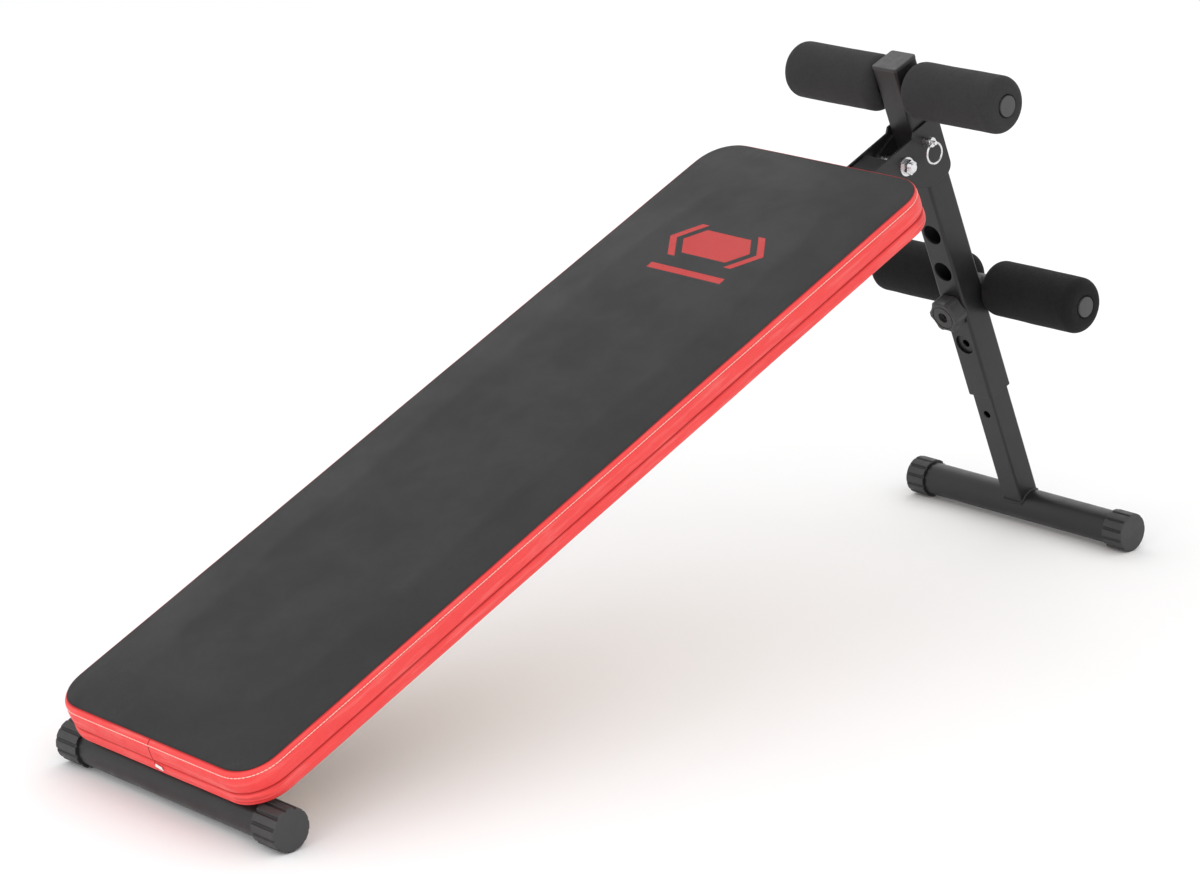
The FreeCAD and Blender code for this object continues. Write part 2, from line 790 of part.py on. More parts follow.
# ---------------------------------------------------------------- rollers


def tube_plug(label, placement):
    """A round plug for the end of a roller tube, its head at z = 0 and up."""
    body = new_body(label, placement)
    head = new_sketch(body, "XY_Plane")
    add_circle(head, "$roller_tube")
    feature(body, "Pad", head, length="$plug_head")
    edge, top = size("roller_tube"), size("plug_head")
    fillet(body, "$plug_round", lambda e: is_round(e, edge, top))
    stem = new_sketch(body, "XY_Plane")
    add_circle(stem, "$roller_tube - $roller_wall")
    feature(body, "Pad", stem, length="$plug_depth", reverse=True)


def foam_roller(label, placement, length):
    """A foam sleeve with rounded ends, along +Z."""
    body = new_body(label, placement)
    ring = new_sketch(body, "XY_Plane")
    add_circle(ring, "$foam_radius")
    add_circle(ring, "$roller_tube + $soft_gap")
    feature(body, "Pad", ring, length=length)
    outer = size("foam_radius")
    fillet(body, "$foam_round", lambda e: is_round(e, outer))


def roller_pair(name, offset, height, half, inner):
    """A tube across the leg with a plug in each end and a foam roller each side."""
    tube_half = f"${half} - $plug_head"
    round_tube(f"{name}_roller_tube", at(LEG, offset, 0, height), "$roller_tube", "$roller_wall", tube_half)
    for side, sign in SIDES.items():
        plug_at = sign * (size(half) - size("plug_head"))
        tube_plug(f"{name}_tube_plug_{side}", at(LEG, offset, plug_at, height, facing(side)))
        start = at(LEG, offset, sign * size(inner), height, facing(side))
        foam_roller(f"{name}_foam_{side}", start, f"${half} - $foam_recess - ${inner}")


def lower_stub():
    """The short bar from the lower roller tube through the back of the post."""
    body = new_body("lower_stub", at(LEG, z=size("adjust_first") + size("adjust_pitch")))
    sketch = new_sketch(body, "YZ_Plane", "$inner_side / 2 + $soft_gap")
    add_circle(sketch, "$collar_radius")
    feature(body, "Pad", sketch, length="$lower_behind - $inner_side / 2 - $soft_gap")
    saddle = new_sketch(body, "XZ_Plane")
    add_circle(saddle, "$roller_tube", x="$lower_behind")
    cut(body, saddle)
    thread = new_sketch(body, "YZ_Plane", "$inner_side / 2 + $soft_gap")
    add_circle(thread, "$stud_radius")
    cut(body, thread, length="$thread_depth", reverse=True)


def clamp_knob():
    """The collar in the front hole, the stud end and the lobed knob that turns against it."""
    height = size("adjust_first") + size("adjust_pitch")
    face = size("tube_side") / 2 + size("collar_proud")
    collar = new_body("clamp_collar", at(LEG, z=height))
    disc = new_sketch(collar, "YZ_Plane", f"-1 * {face}")
    add_circle(disc, "$collar_radius")
    add_circle(disc, "$stud_radius + $fit")
    feature(collar, "Pad", disc, length=f"{face} - $inner_side / 2 - $soft_gap")

    turn = Rotation(Y_AXIS, -90)  # local Z points out of the front face
    knob = new_body("clamp_knob", at(LEG, -face - size("soft_gap"), 0, height, turn))
    disc = new_sketch(knob, "XY_Plane")
    add_circle(disc, "$knob_radius")
    feature(knob, "Pad", disc, length="$knob_height")
    notch = new_sketch(knob, "XY_Plane")
    add_circle(notch, "$knob_notch", x="$knob_notch_at")
    around_z(knob, cut(knob, notch), "$knob_lobes")
    top = size("knob_height")
    fillet(knob, "$knob_round", lambda e: abs(e.BoundBox.ZMin - top) < 1e-4)
    groove = new_sketch(knob, "XY_Plane", "$knob_height - $knob_groove_depth")
    add_circle(groove, "$knob_groove_outer")
    add_circle(groove, "$knob_groove_inner")
    cut(knob, groove, length="$knob_groove_depth", reverse=True)
    recess = new_sketch(knob, "XY_Plane", "$knob_height - $knob_recess_depth")
    add_circle(recess, "$knob_recess")
    cut(knob, recess, length="$knob_recess_depth", reverse=True)
    bore = new_sketch(knob, "XY_Plane")
    add_circle(bore, "$stud_radius")
    cut(knob, bore)

    stud = new_body("clamp_stud", at(LEG, -size("inner_side") / 2 - size("soft_gap"), 0, height, turn))
    rod = new_sketch(stud, "XY_Plane")
    add_circle(rod, "$stud_radius")
    feature(stud, "Pad", rod, length="$knob_height - $knob_cover")


# ---------------------------------------------------------------- assembly

foot("front", FRONT_X, "front_half", "front_cap_length")
foot("rear", REAR_X, "rear_half", "rear_cap_length")
main_rail()
cross_bar("pad_bar_low", "bar_low")
cross_bar("pad_bar_high", "bar_high")
pad_screws()
pad_tee_nuts()
pad_board()
pad_cushion()
for side in SIDES:
    hinge_cheek(side)
    hinge_lug(side)
pivot_hardware()
pivot_bush()
pull_pin()
leg_post()
post_cap()
leg_sleeve()
leg_inner_tube()
roller_pair("upper", 0, size("upper_height"), "upper_half", "upper_inner")
lower_height = size("adjust_first") + size("adjust_pitch")
roller_pair("lower", size("lower_behind"), lower_height, "lower_half", "lower_inner")
lower_stub()
clamp_knob()
doc.recompute()

# ---------------------------------------------------------------- checks and files

for item in doc.Objects:
    if {"Invalid", "Error"} & set(item.State):
        raise RuntimeError(f"{item.Label} did not compute: {item.State}")
for item in SUBPARTS:
    if item.Shape.isNull() or not item.Shape.isValid():
        raise RuntimeError(f"{item.Label} has no valid shape")

os.makedirs("parts", exist_ok=True)
for item in SUBPARTS:
    item.Shape.exportStep(f"parts/{item.Label}.step")
    print(f"{item.Label}: {len(item.Shape.Solids)} solid(s), {item.Shape.Volume / 1000:.2f} cm3")
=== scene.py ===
import json
import math
import random

import bpy
from mathutils import Matrix, Vector, noise


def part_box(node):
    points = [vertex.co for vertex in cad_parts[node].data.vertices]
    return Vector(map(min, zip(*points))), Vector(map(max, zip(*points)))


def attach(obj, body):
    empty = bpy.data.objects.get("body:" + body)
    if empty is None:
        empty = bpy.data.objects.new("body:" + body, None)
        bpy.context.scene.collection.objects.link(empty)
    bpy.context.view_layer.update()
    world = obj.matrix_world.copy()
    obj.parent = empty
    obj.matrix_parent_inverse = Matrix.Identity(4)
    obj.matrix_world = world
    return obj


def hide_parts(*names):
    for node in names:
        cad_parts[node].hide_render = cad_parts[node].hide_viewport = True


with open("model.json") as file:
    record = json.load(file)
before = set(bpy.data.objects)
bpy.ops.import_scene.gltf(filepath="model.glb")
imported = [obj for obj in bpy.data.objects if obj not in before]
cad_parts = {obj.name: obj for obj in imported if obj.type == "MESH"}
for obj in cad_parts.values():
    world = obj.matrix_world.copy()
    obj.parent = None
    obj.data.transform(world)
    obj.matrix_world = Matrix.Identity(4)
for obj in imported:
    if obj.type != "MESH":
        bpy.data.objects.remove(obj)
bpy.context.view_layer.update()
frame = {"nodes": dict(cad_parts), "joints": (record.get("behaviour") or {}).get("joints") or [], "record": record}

# The looks of a decline sit-up bench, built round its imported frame. Metres, +Z up.
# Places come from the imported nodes, joints and mount; sizes of what is added here are named below.

MM = 0.001
SIDES = {"left": 1, "right": -1}  # left is +Y

# pad
PAD_LENGTH, PAD_WIDTH, PAD_HEIGHT = 1.0976, 0.3410, 0.0447
PAD_CORNER = 0.045
PAD_MIDDLE = 0.5438  # where its middle lies in the rail's own measure
CELLS_ALONG, CELLS_ACROSS = 182, 54  # quads of the top panel before subdivision
STITCH_DROP_SIDE, STITCH_DROP_END = 0.0082, 0.0078  # stitched line, below the pad's top
JOIN_HEIGHT = 0.0152  # where the band's two strips are sewn together
LOW_END_INSET = (3.0, 2.6, 2.0, 1.2, 0.5)  # mm further in at the low end, for the band's first rows
# waves of the sewn cover, each as (mm, size in metres)
UNEVEN_HEIGHT, UNEVEN_INSET, RAGGED_EDGE = (0.35, 0.11), (0.25, 0.05), (2.0, 0.03)
CROWN_DROP, CROWN_RISE, CROWN_UNEVEN = 0.0014, 0.0010, 0.0003  # of the top before it swells
SHEET_DROP = 0.0011  # bottom sheet, below the board's face
SWELL_TOP, SWELL_BAND = 0.0045, 0.0016  # most that the cover may move in the simulation
SWELL_STEPS = 20
STITCH_PITCH, STITCH_LENGTH, STITCH_RADIUS, STITCH_LIFT = 0.0045, 0.0040, 0.00060, 0.0002
STAPLE_EVERY = 7  # outline cells from one staple to the next
STAPLE_INSET, STAPLE_WIDTH, STAPLE_RADIUS = 0.017, 0.0100, 0.00045
STAPLE_STRAY = (0.002, 0.02)  # metres, over metres
# seam in the middle of the low end: its bow and offset, where it fades sideways and where along
END_SEAM_BOW, END_SEAM_ASIDE = 0.0050, 0.0004
END_SEAM_FADE, LOW_END = (0.0009, 0.0004), (-0.50, -0.51)

# printed motif, measured from the pad's middle
MARK_ALONG, MARK_WIDTH, MARK_HEIGHT, MARK_LINE = 0.3598, 0.150, 0.062, 0.0085
MARK_SLANT = (0.78, 0.62)  # across and along parts of a chevron's slanted side
MARK_REACH = 0.39 * MARK_WIDTH  # from the middle to that side
MARK_INSET = 0.008  # the hexagon ends this much short of the chevrons, above and below
BAR_ALONG, BAR_WIDTH, BAR_HEIGHT = 0.3058, 0.118, 0.0095
PRINT_SOFT = 0.0003  # half the width of the print's soft edge

# tubes of the frame, for the weld beads
FOOT_RADIUS, CAP_RADIUS, ROLLER_TUBE_RADIUS = 0.0205, 0.0240, 0.0125
TUBE_SIDE, TUBE_CORNER, INNER_SIDE, INNER_CORNER = 0.038, 0.0035, 0.0316, 0.0025
CHEEK_START = 1.060  # in the rail's measure
RAIL_DROP = 0.003  # rail's top face, below the board: the cross bars lie between them
BAR_EDGES = {"front": -1, "back": 1}
BAR_HALF, BAR_WELD_START, BAR_WELD_END = 0.0175, 0.004, 0.0155

# weld beads
FOOT_BEAD, LEG_BEAD, ROLLER_BEAD, CHEEK_BEAD, BAR_BEAD = 0.0022, 0.0020, 0.0011, 0.0016, 0.0014
BEAD_STEP = 0.0009
BEAD_RIPPLE, BEAD_LUMP = (0.16, 0.0034), (0.14, 0.009)  # share of its radius, and length
BEAD_OUT = 0.0006  # middle of a cheek's bead, out from the faces that it joins

# foam rollers
FOAM_RADIUS, FOAM_BORE, FOAM_ROUND = 0.0344, 0.0130, 0.0130
FOAM_SIDES = 56
FOAM_MOUTH = ((0.0, 0.0030), (0.0004, 0.0011), (0.0016, 0.0002), (0.0040, 0.0))  # out, in from end
DENTS = ((0.00032, 0.035), (0.00016, 0.012))  # uneven skin as (depth, size), wide and small
DENT_SINK = 0.00035  # how far the uneven skin is drawn in
DENT_START, DENT_GROW = 0.004, 0.01  # out from the bore: where dents begin, and grow to full

# painted shade in the flutes of the foot caps: none at the first distance in, full at the second
FLUTE_SHADE_IN, FLUTE_SHADE_ALONG = (0.0002, 0.0010), (0.0008, 0.0032)

# camera, from the low end and the right
CAMERA_PLACE = Vector((-2.92146, -3.1193, 1.5397))
CAMERA_YAW, CAMERA_PITCH, CAMERA_ROLL = 47.36, -16.85, -1.13
CAMERA_LENS, SENSOR_WIDTH, CAMERA_REACH = 118.9, 36.0, 100

# stage
FLOOR_HALF, SKY_STRENGTH = 30.0, 1.04
SOFTBOXES = {  # place, what it faces, width, height, power
    "key": ((-1.2, -2.6, 2.6), (0, 0, 0.25), 2.4, 1.6, 16),
    "back": ((2.6, 1.8, 2.4), (0, 0, 0.3), 2.6, 1.6, 10),
    "fill": ((-2.8, 0.8, 1.8), (0, 0, 0.2), 1.8, 1.8, 5),
    "low_end": ((-2.7, -0.9, 0.6), (-0.66, 0, 0.04), 0.9, 0.7, 9),
}

# cloth grain: how far its cells are shaken, and scales of the shaking and of the finest grain
GRAIN_SHAKE, GRAIN_SHAKE_SCALE, GRAIN_FINE_SCALE = 0.0011, 0.6, 3.2
EDGE_AGREE = (0.995, 0.86)  # rounded normal against the flat one: beside an edge, on it
# share of the painted shade in the foot caps' flutes; how much lighter scuffed plastic edges are
CAP_FLUTE_SHADE_SHARE, SCUFF_GAIN = 0.62, 2.1

# colours, in pairs where a noise mixes a darker with a lighter one
# the second colour lightens rubbed edges: partly wear, partly a painted highlight along them
PAINT, PAINT_EDGE_WEAR_AND_HIGHLIGHT = ((0.011, 0.011, 0.012), (0.017, 0.017, 0.018)), (0.085, 0.085, 0.09)
# painted shade for the flutes of the foot caps
CAP_FLUTE_SHADE_COLOUR = (0.004, 0.004, 0.004)
ZINC, ZINC_RUBBED = ((0.66, 0.66, 0.68), (0.86, 0.86, 0.87)), (0.93, 0.93, 0.94)
BIRCH, BIRCH_FLECK = ((0.40, 0.26, 0.13), (0.64, 0.48, 0.29)), (0.22, 0.13, 0.06)
BLACK_CLOTH = (0.0150, 0.0150, 0.0160), (0.0190, 0.0190, 0.0200)
# the second colour is painted shade along the seam of the top
BLACK_GRAIN, BLACK_SEAM_SHADE = (0.009, 0.009, 0.010), (0.004, 0.004, 0.004)
DUST, PRINT_RED = (0.07, 0.07, 0.07), (0.50, 0.030, 0.028)
RED_CLOTH = (0.80, 0.042, 0.041), (0.90, 0.060, 0.057)
# the second colour is painted sheen: lighter streaks that stand in for highlights on the band
RED_GRAIN, RED_PAINTED_SHEEN = (0.45, 0.012, 0.014), (0.88, 0.21, 0.19)
# painted shade: the first colour in the band's corner folds, the second in its seams
RED_FOLD_SHADE, RED_SEAM_SHADE = (0.46, 0.008, 0.010), (0.36, 0.002, 0.003)
THREAD, TAPE = ((0.86, 0.42, 0.36), (0.95, 0.66, 0.58)), ((0.72, 0.71, 0.69), (0.88, 0.87, 0.86))
FOAM, FOAM_PIT = ((0.0065, 0.0065, 0.0067), (0.0100, 0.0100, 0.0103)), (0.003, 0.003, 0.003)
# a lighter copy of the same foam for the upper rollers: painted light, for the light that falls more on them
FOAM_PAINTED_LIGHT = (0.026, 0.026, 0.0265), (0.036, 0.036, 0.0365)
PAPER = (0.92, 0.92, 0.92), (0.94, 0.94, 0.94)
PLASTICS = {  # darker and lighter colour, roughness, scale of the grain
    "cap_plastic": ((0.033, 0.033, 0.034), (0.047, 0.047, 0.048), 0.55, 1700),
    "plug_plastic": ((0.050, 0.050, 0.052), (0.070, 0.070, 0.072), 0.50, 1500),
    "guide_plastic": ((0.020, 0.020, 0.020), (0.030, 0.030, 0.030), 0.45, 1500),
    "knob_plastic": ((0.028, 0.028, 0.029), (0.042, 0.042, 0.043), 0.42, 1600),
}

random.seed(7)

# ---------------------------------------------------------------- frames

joints = {joint["name"]: joint for joint in frame["joints"]}
pad_mount = frame["record"]["mounts"][0]


def basis(origin, x_axis, z_axis):
    """A right-handed frame as a matrix."""
    x_axis, z_axis = Vector(x_axis).normalized(), Vector(z_axis).normalized()
    y_axis = z_axis.cross(x_axis)
    turned = Matrix((x_axis, y_axis, z_axis)).transposed().to_4x4()
    return Matrix.Translation(origin) @ turned


def middle(node):
    low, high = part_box(node)
    return (Vector(low) + Vector(high)) / 2


pad_up = Vector(pad_mount["axis"])
pad_along = Vector((0, 1, 0)).cross(pad_up)
# pad frame: X up the incline, Y across, Z square to the pad, origin under its middle at the board
PAD = basis(Vector(pad_mount["pos_m"]) - PAD_HEIGHT * pad_up, pad_along, pad_up)

leg_up = -Vector(joints["leg_extend"]["axis"])
leg_back = Vector(joints["clamp_travel"]["axis"])
# leg frame: Z up the post, X away from the pad, origin on the rear foot's axis
LEG = basis(middle("rear_foot_tube"), leg_back, leg_up)


# ---------------------------------------------------------------- materials


class Shader:
    """A Principled material with short calls for its nodes."""

    def __init__(self, name, roughness=0.5, metallic=0.0, specular=0.5, sheen=0.0):
        self.material = bpy.data.materials.new(name)
        self.material.use_nodes = True
        self.tree = self.material.node_tree
        self.bsdf = self.tree.nodes["Principled BSDF"]
        self.set(Roughness=roughness, Metallic=metallic)
        self.bsdf.inputs["Specular IOR Level"].default_value = specular
        self.bsdf.inputs["Sheen Weight"].default_value = sheen
        self.place = self.add("ShaderNodeTexCoord").outputs["Object"]

    def add(self, kind, **settings):
        made = self.tree.nodes.new(kind)
        for name, value in settings.items():
            setattr(made, name, value)
        return made

    def feed(self, socket, value):
        """Link an output into the socket, or set the socket to a value."""
        if isinstance(value, bpy.types.NodeSocket):
            self.tree.links.new(value, socket)
        else:
            socket.default_value = value

    def set(self, **values):
        for name, value in values.items():
            self.feed(self.bsdf.inputs[name.replace("_", " ")], value)

    def noise(self, scale, detail=2.0, rough=0.5, place=None):
        made = self.add("ShaderNodeTexNoise")
        self.feed(made.inputs["Vector"], place or self.place)
        made.inputs["Scale"].default_value = scale
        made.inputs["Detail"].default_value = detail
        made.inputs["Roughness"].default_value = rough
        return made.outputs["Fac"]

    def cells(self, scale, feature="F1", place=None):
        made = self.add("ShaderNodeTexVoronoi", feature=feature)
        self.feed(made.inputs["Vector"], place or self.place)
        made.inputs["Scale"].default_value = scale
        return made.outputs["Distance"]

    def axes(self):
        """The object's own X, Y and Z."""
        apart = self.add("ShaderNodeSeparateXYZ")
        self.feed(apart.inputs["Vector"], self.place)
        return [apart.outputs[axis] for axis in "XYZ"]

    def stretched(self, factors):
        """The object's own coordinates, stretched."""
        made = self.add("ShaderNodeMapping")
        self.feed(made.inputs["Vector"], self.place)
        made.inputs["Scale"].default_value = factors
        return made.outputs["Vector"]

    def span(self, value, low, high, to_low=0.0, to_high=1.0):
        """The value carried smoothly from low..high to to_low..to_high, and held beyond them."""
        made = self.add("ShaderNodeMapRange", interpolation_type="SMOOTHSTEP")
        for name, number in (("Value", value), ("From Min", low), ("From Max", high)):
            self.feed(made.inputs[name], number)
        for name, number in (("To Min", to_low), ("To Max", to_high)):
            self.feed(made.inputs[name], number)
        return made.outputs["Result"]

    def calc(self, operation, first, second=0.0):
        made = self.add("ShaderNodeMath", operation=operation)
        self.feed(made.inputs[0], first)
        self.feed(made.inputs[1], second)
        return made.outputs["Value"]

    def mix(self, factor, first, second):
        made = self.add("ShaderNodeMix", data_type="RGBA")
        self.feed(made.inputs["Factor"], factor)
        for socket, colour in ((made.inputs[6], first), (made.inputs[7], second)):
            self.feed(socket, (*colour, 1.0) if isinstance(colour, tuple) else colour)
        return made.outputs[2]

    def attribute(self, name):
        return self.add("ShaderNodeAttribute", attribute_name=name).outputs["Fac"]

    def bump(self, height, distance, under=None):
        made = self.add("ShaderNodeBump")
        made.inputs["Distance"].default_value = distance
        self.feed(made.inputs["Height"], height)
        if under is not None:
            self.feed(made.inputs["Normal"], under)
        return made.outputs["Normal"]

    def edges(self, radius):
        """A rounded normal, and a mask that is 1 along sharp edges."""
        rounded = self.add("ShaderNodeBevel", samples=4)
        rounded.inputs["Radius"].default_value = radius
        normal = rounded.outputs["Normal"]
        plain = self.add("ShaderNodeNewGeometry").outputs["Normal"]
        agree = self.add("ShaderNodeVectorMath", operation="DOT_PRODUCT")
        self.feed(agree.inputs[0], normal)
        self.feed(agree.inputs[1], plain)
        return normal, self.span(agree.outputs["Value"], *EDGE_AGREE)


def powder_coat():
    """Satin black paint on steel: fine orange peel, faint mottling, edges painted lighter, partly as wear and
    partly as a painted highlight.
    """
    s = Shader("frame_paint", specular=0.40)
    normal, edge = s.edges(0.0011)
    # edges lighter: partly wear, partly a painted highlight along them
    wear_and_painted_light = s.calc("MULTIPLY", edge, s.span(s.noise(90, 4, 0.7), 0.46, 0.72))
    dark = s.mix(s.noise(28, 3), *PAINT)
    s.set(Base_Color=s.mix(wear_and_painted_light, dark, PAINT_EDGE_WEAR_AND_HIGHLIGHT))
    dull = s.span(s.noise(45, 4, 0.65), 0.3, 0.75, 0.27, 0.39)
    s.set(Roughness=s.calc("ADD", dull, s.span(s.noise(1500), 0.3, 0.7, 0.0, 0.08)))
    s.set(Normal=s.bump(s.noise(1300, 1), 0.00007, normal))
    return s.material


def flutes(s):
    """1 in the flutes of the foot caps, where shade is painted in, and 0 on their ribs and end faces."""
    x, y, z = s.axes()
    out = s.calc("ABSOLUTE", y)
    flute_shade_sum = 0.0
    for name in ("front", "rear"):
        centre = middle(f"{name}_foot_tube")
        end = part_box(f"{name}_foot_cap_left")[1].y
        squares = []
        for axis, place in ((x, centre.x), (z, centre.z)):
            off = s.calc("SUBTRACT", axis, place)
            squares.append(s.calc("MULTIPLY", off, off))
        reach = s.calc("SQRT", s.calc("ADD", *squares))
        inside = s.span(reach, *(CAP_RADIUS - d for d in FLUTE_SHADE_IN))
        along = s.span(out, *(end - d for d in FLUTE_SHADE_ALONG))
        flute_shade_sum = s.calc("ADD", flute_shade_sum, s.calc("MULTIPLY", inside, along))
    return flute_shade_sum


def moulded_plastic(name, low, high, roughness, grain):
    """Moulded plastic with a fine sparked texture and scuffed edges; the foot caps get painted shade in their
    flutes.
    """
    s = Shader(name, specular=0.4)
    normal, edge = s.edges(0.0008)
    wear_and_painted_light = s.calc("MULTIPLY", edge, s.noise(160, 3, 0.7))
    lighter = tuple(min(1.0, SCUFF_GAIN * c) for c in high)
    shade = s.mix(wear_and_painted_light, s.mix(s.noise(60, 4), low, high), lighter)
    # painted shade in the flutes and on the inner rims of the foot caps
    if name == "cap_plastic":
        shade = s.mix(s.calc("MULTIPLY", flutes(s), CAP_FLUTE_SHADE_SHARE), shade, CAP_FLUTE_SHADE_COLOUR)
    s.set(Base_Color=shade)
    s.set(Roughness=s.span(s.noise(120, 4), 0.3, 0.7, roughness - 0.07, roughness + 0.07))
    s.set(Normal=s.bump(s.noise(grain, 2), 0.00009, normal))
    return s.material


def zinc_plate():
    """Bright zinc on steel, slightly uneven."""
    s = Shader("zinc", metallic=1.0)
    normal, edge = s.edges(0.0004)
    clean = s.mix(s.noise(220, 4), *ZINC)
    s.set(Base_Color=s.mix(edge, clean, ZINC_RUBBED))
    s.set(Roughness=s.span(s.noise(400, 4), 0.3, 0.7, 0.20, 0.38))
    s.set(Normal=s.bump(s.noise(900, 2), 0.00003, normal))
    return s.material


def plywood():
    """Birch plywood: long grain, darker flecks."""
    s = Shader("board_wood", roughness=0.7, specular=0.3)
    long_grain = s.noise(1.0, 6, 0.6, s.stretched((9, 260, 260)))
    fleck = s.noise(1.0, 2, 0.5, s.stretched((60, 900, 900)))
    wood = s.mix(long_grain, *BIRCH)
    s.set(Base_Color=s.mix(s.span(fleck, 0.62, 0.75, 0.0, 0.5), wood, BIRCH_FLECK))
    s.set(Normal=s.bump(long_grain, 0.0002))
    return s.material


def printed_mark(s):
    """1 inside a plain printed motif: a chevron each side of a solid hexagon, over a bar."""
    x, y, _ = s.axes()
    across = s.calc("ABSOLUTE", y)
    along = s.calc("ABSOLUTE", s.calc("SUBTRACT", x, MARK_ALONG))
    leans = [s.calc("MULTIPLY", way, part) for way, part in zip((across, along), MARK_SLANT)]
    beyond = s.calc("SUBTRACT", s.calc("ADD", *leans), MARK_REACH)
    tall = s.calc("SUBTRACT", along, MARK_HEIGHT / 2)
    inside = s.calc("ABSOLUTE", s.calc("ADD", beyond, MARK_LINE / 2))
    stroke = s.calc("MAXIMUM", s.calc("SUBTRACT", inside, MARK_LINE / 2), tall)
    lower = s.calc("ADD", tall, MARK_INSET)
    core = s.calc("MAXIMUM", s.calc("ADD", beyond, 2 * MARK_LINE), lower)
    under = s.calc("ABSOLUTE", s.calc("SUBTRACT", x, BAR_ALONG))
    wide = s.calc("SUBTRACT", across, BAR_WIDTH / 2)
    bar = s.calc("MAXIMUM", s.calc("SUBTRACT", under, BAR_HEIGHT / 2), wide)
    bar, chevrons, core = (s.span(d, PRINT_SOFT, -PRINT_SOFT) for d in (bar, stroke, core))
    wear_and_painted_light = s.span(s.noise(260, 5, 0.7), 0.25, 0.36)
    return s.calc("MULTIPLY", wear_and_painted_light, s.calc("MAXIMUM", bar, s.calc("MAXIMUM", chevrons, core)))


def leather_grain(s, scale, distance):
    """Coated-cloth grain: uneven pebbles with fine creases between them."""
    shaken = s.add("ShaderNodeVectorMath", operation="ADD")
    wobble = s.add("ShaderNodeTexNoise")
    s.feed(wobble.inputs["Vector"], s.place)
    wobble.inputs["Scale"].default_value = scale * GRAIN_SHAKE_SCALE
    small = s.add("ShaderNodeVectorMath", operation="SCALE")
    s.feed(small.inputs[0], wobble.outputs["Color"])
    small.inputs["Scale"].default_value = GRAIN_SHAKE
    s.feed(shaken.inputs[0], s.place)
    s.feed(shaken.inputs[1], small.outputs["Vector"])
    pebble = s.span(s.cells(scale, "DISTANCE_TO_EDGE", shaken.outputs["Vector"]), 0.0, 0.22)
    fine = s.calc("MULTIPLY", s.noise(scale * GRAIN_FINE_SCALE, 2), 0.35)
    return pebble, s.bump(s.calc("ADD", pebble, fine), distance)


def black_cover():
    """Black coated cloth of the top: fine grain, soft gloss, dust, painted shade along its seam and a printed
    motif.
    """
    s = Shader("pad_cover", specular=0.23, sheen=0.02)
    s.bsdf.inputs["Sheen Roughness"].default_value = 0.5
    pebble, normal = leather_grain(s, 950, 0.00009)
    cloud = s.noise(9, 4, 0.6)
    base = s.mix(cloud, *BLACK_CLOTH)
    base = s.mix(s.span(pebble, 0.0, 1.0, 0.35, 0.0), base, BLACK_GRAIN)
    dust = s.span(s.noise(420, 3, 0.7), 0.70, 0.80, 0.0, 0.25)
    base = s.mix(dust, base, DUST)
    # painted shade along the seam
    base = s.mix(s.calc("MULTIPLY", s.attribute("crease"), 0.9), base, BLACK_SEAM_SHADE)
    mark = printed_mark(s)
    s.set(Base_Color=s.mix(mark, base, PRINT_RED))
    dull = s.span(s.noise(14, 4, 0.6), 0.3, 0.7, 0.43, 0.54)
    s.set(Roughness=s.calc("SUBTRACT", dull, s.calc("MULTIPLY", mark, 0.06)))
    s.set(Normal=normal)
    return s.material


def end_seam(s):
    """1 along the seam that closes the band in the middle of the low end."""
    x, y, z = s.axes()
    rise = s.calc("POWER", s.calc("DIVIDE", z, PAD_HEIGHT), 3)
    bow = s.calc("MULTIPLY", rise, END_SEAM_BOW)
    aside = s.calc("ABSOLUTE", s.calc("ADD", s.calc("ADD", y, bow), END_SEAM_ASIDE))
    return s.calc("MULTIPLY", s.span(aside, *END_SEAM_FADE), s.span(x, *LOW_END))


def corner_folds(s):
    """Long shallow folds where the band is pulled round a corner."""
    x, y, z = s.axes()
    half_length, half_width = PAD_LENGTH / 2, PAD_WIDTH / 2
    ends = s.span(s.calc("ABSOLUTE", x), half_length - 0.085, half_length - 0.030)
    sides = s.span(s.calc("ABSOLUTE", y), half_width - 0.075, half_width - 0.030)
    below = s.span(z, JOIN_HEIGHT + 0.006, JOIN_HEIGHT - 0.004, 0.25, 1.0)
    folds = s.noise(1.0, 2, 0.55, s.stretched((14, 14, 330)))
    where = s.calc("MULTIPLY", s.calc("MULTIPLY", ends, sides), below)
    return s.calc("MULTIPLY", where, folds)


def red_cover():
    """Red coated cloth of the band: painted shade in its seams and folds, and lighter streaks of painted sheen."""
    s = Shader("pad_band", specular=0.45)
    pebble, normal = leather_grain(s, 1000, 0.00007)
    cloud = s.noise(16, 4, 0.6)
    base = s.mix(cloud, *RED_CLOTH)
    base = s.mix(s.span(pebble, 0.0, 1.0, 0.22, 0.0), base, RED_GRAIN)
    seam = end_seam(s)
    seams = s.calc("MAXIMUM", s.attribute("crease"), seam)
    folds = corner_folds(s)
    # lighter streaks of painted sheen
    wear_and_painted_light = s.noise(1.0, 4, 0.65, s.stretched((13, 13, 150)))
    base = s.mix(s.span(wear_and_painted_light, 0.46, 0.74, 0.0, 0.42), base, RED_PAINTED_SHEEN)
    # painted shade in the corner folds
    fold_shade = s.calc("MULTIPLY", s.span(folds, 0.44, 0.60), 0.6)
    base = s.mix(fold_shade, base, RED_FOLD_SHADE)
    # painted shade in the seams
    s.set(Base_Color=s.mix(seams, base, RED_SEAM_SHADE))
    dull = s.span(s.noise(60, 4), 0.3, 0.7, 0.42, 0.55)
    s.set(Roughness=s.calc("ADD", dull, s.calc("MULTIPLY", seams, 0.4)))
    normal = s.bump(s.calc("SUBTRACT", 1.0, seam), 0.0006, normal)
    s.set(Normal=s.bump(folds, 0.0011, normal))
    return s.material


def thread(name, low, high):
    """Twisted sewing thread."""
    s = Shader(name, roughness=0.75, specular=0.3, sheen=0.3)
    twist = s.noise(1.0, 1, 0.5, s.stretched((2600, 2600, 5200)))
    s.set(Base_Color=s.mix(twist, low, high))
    s.set(Normal=s.bump(twist, 0.0001))
    return s.material


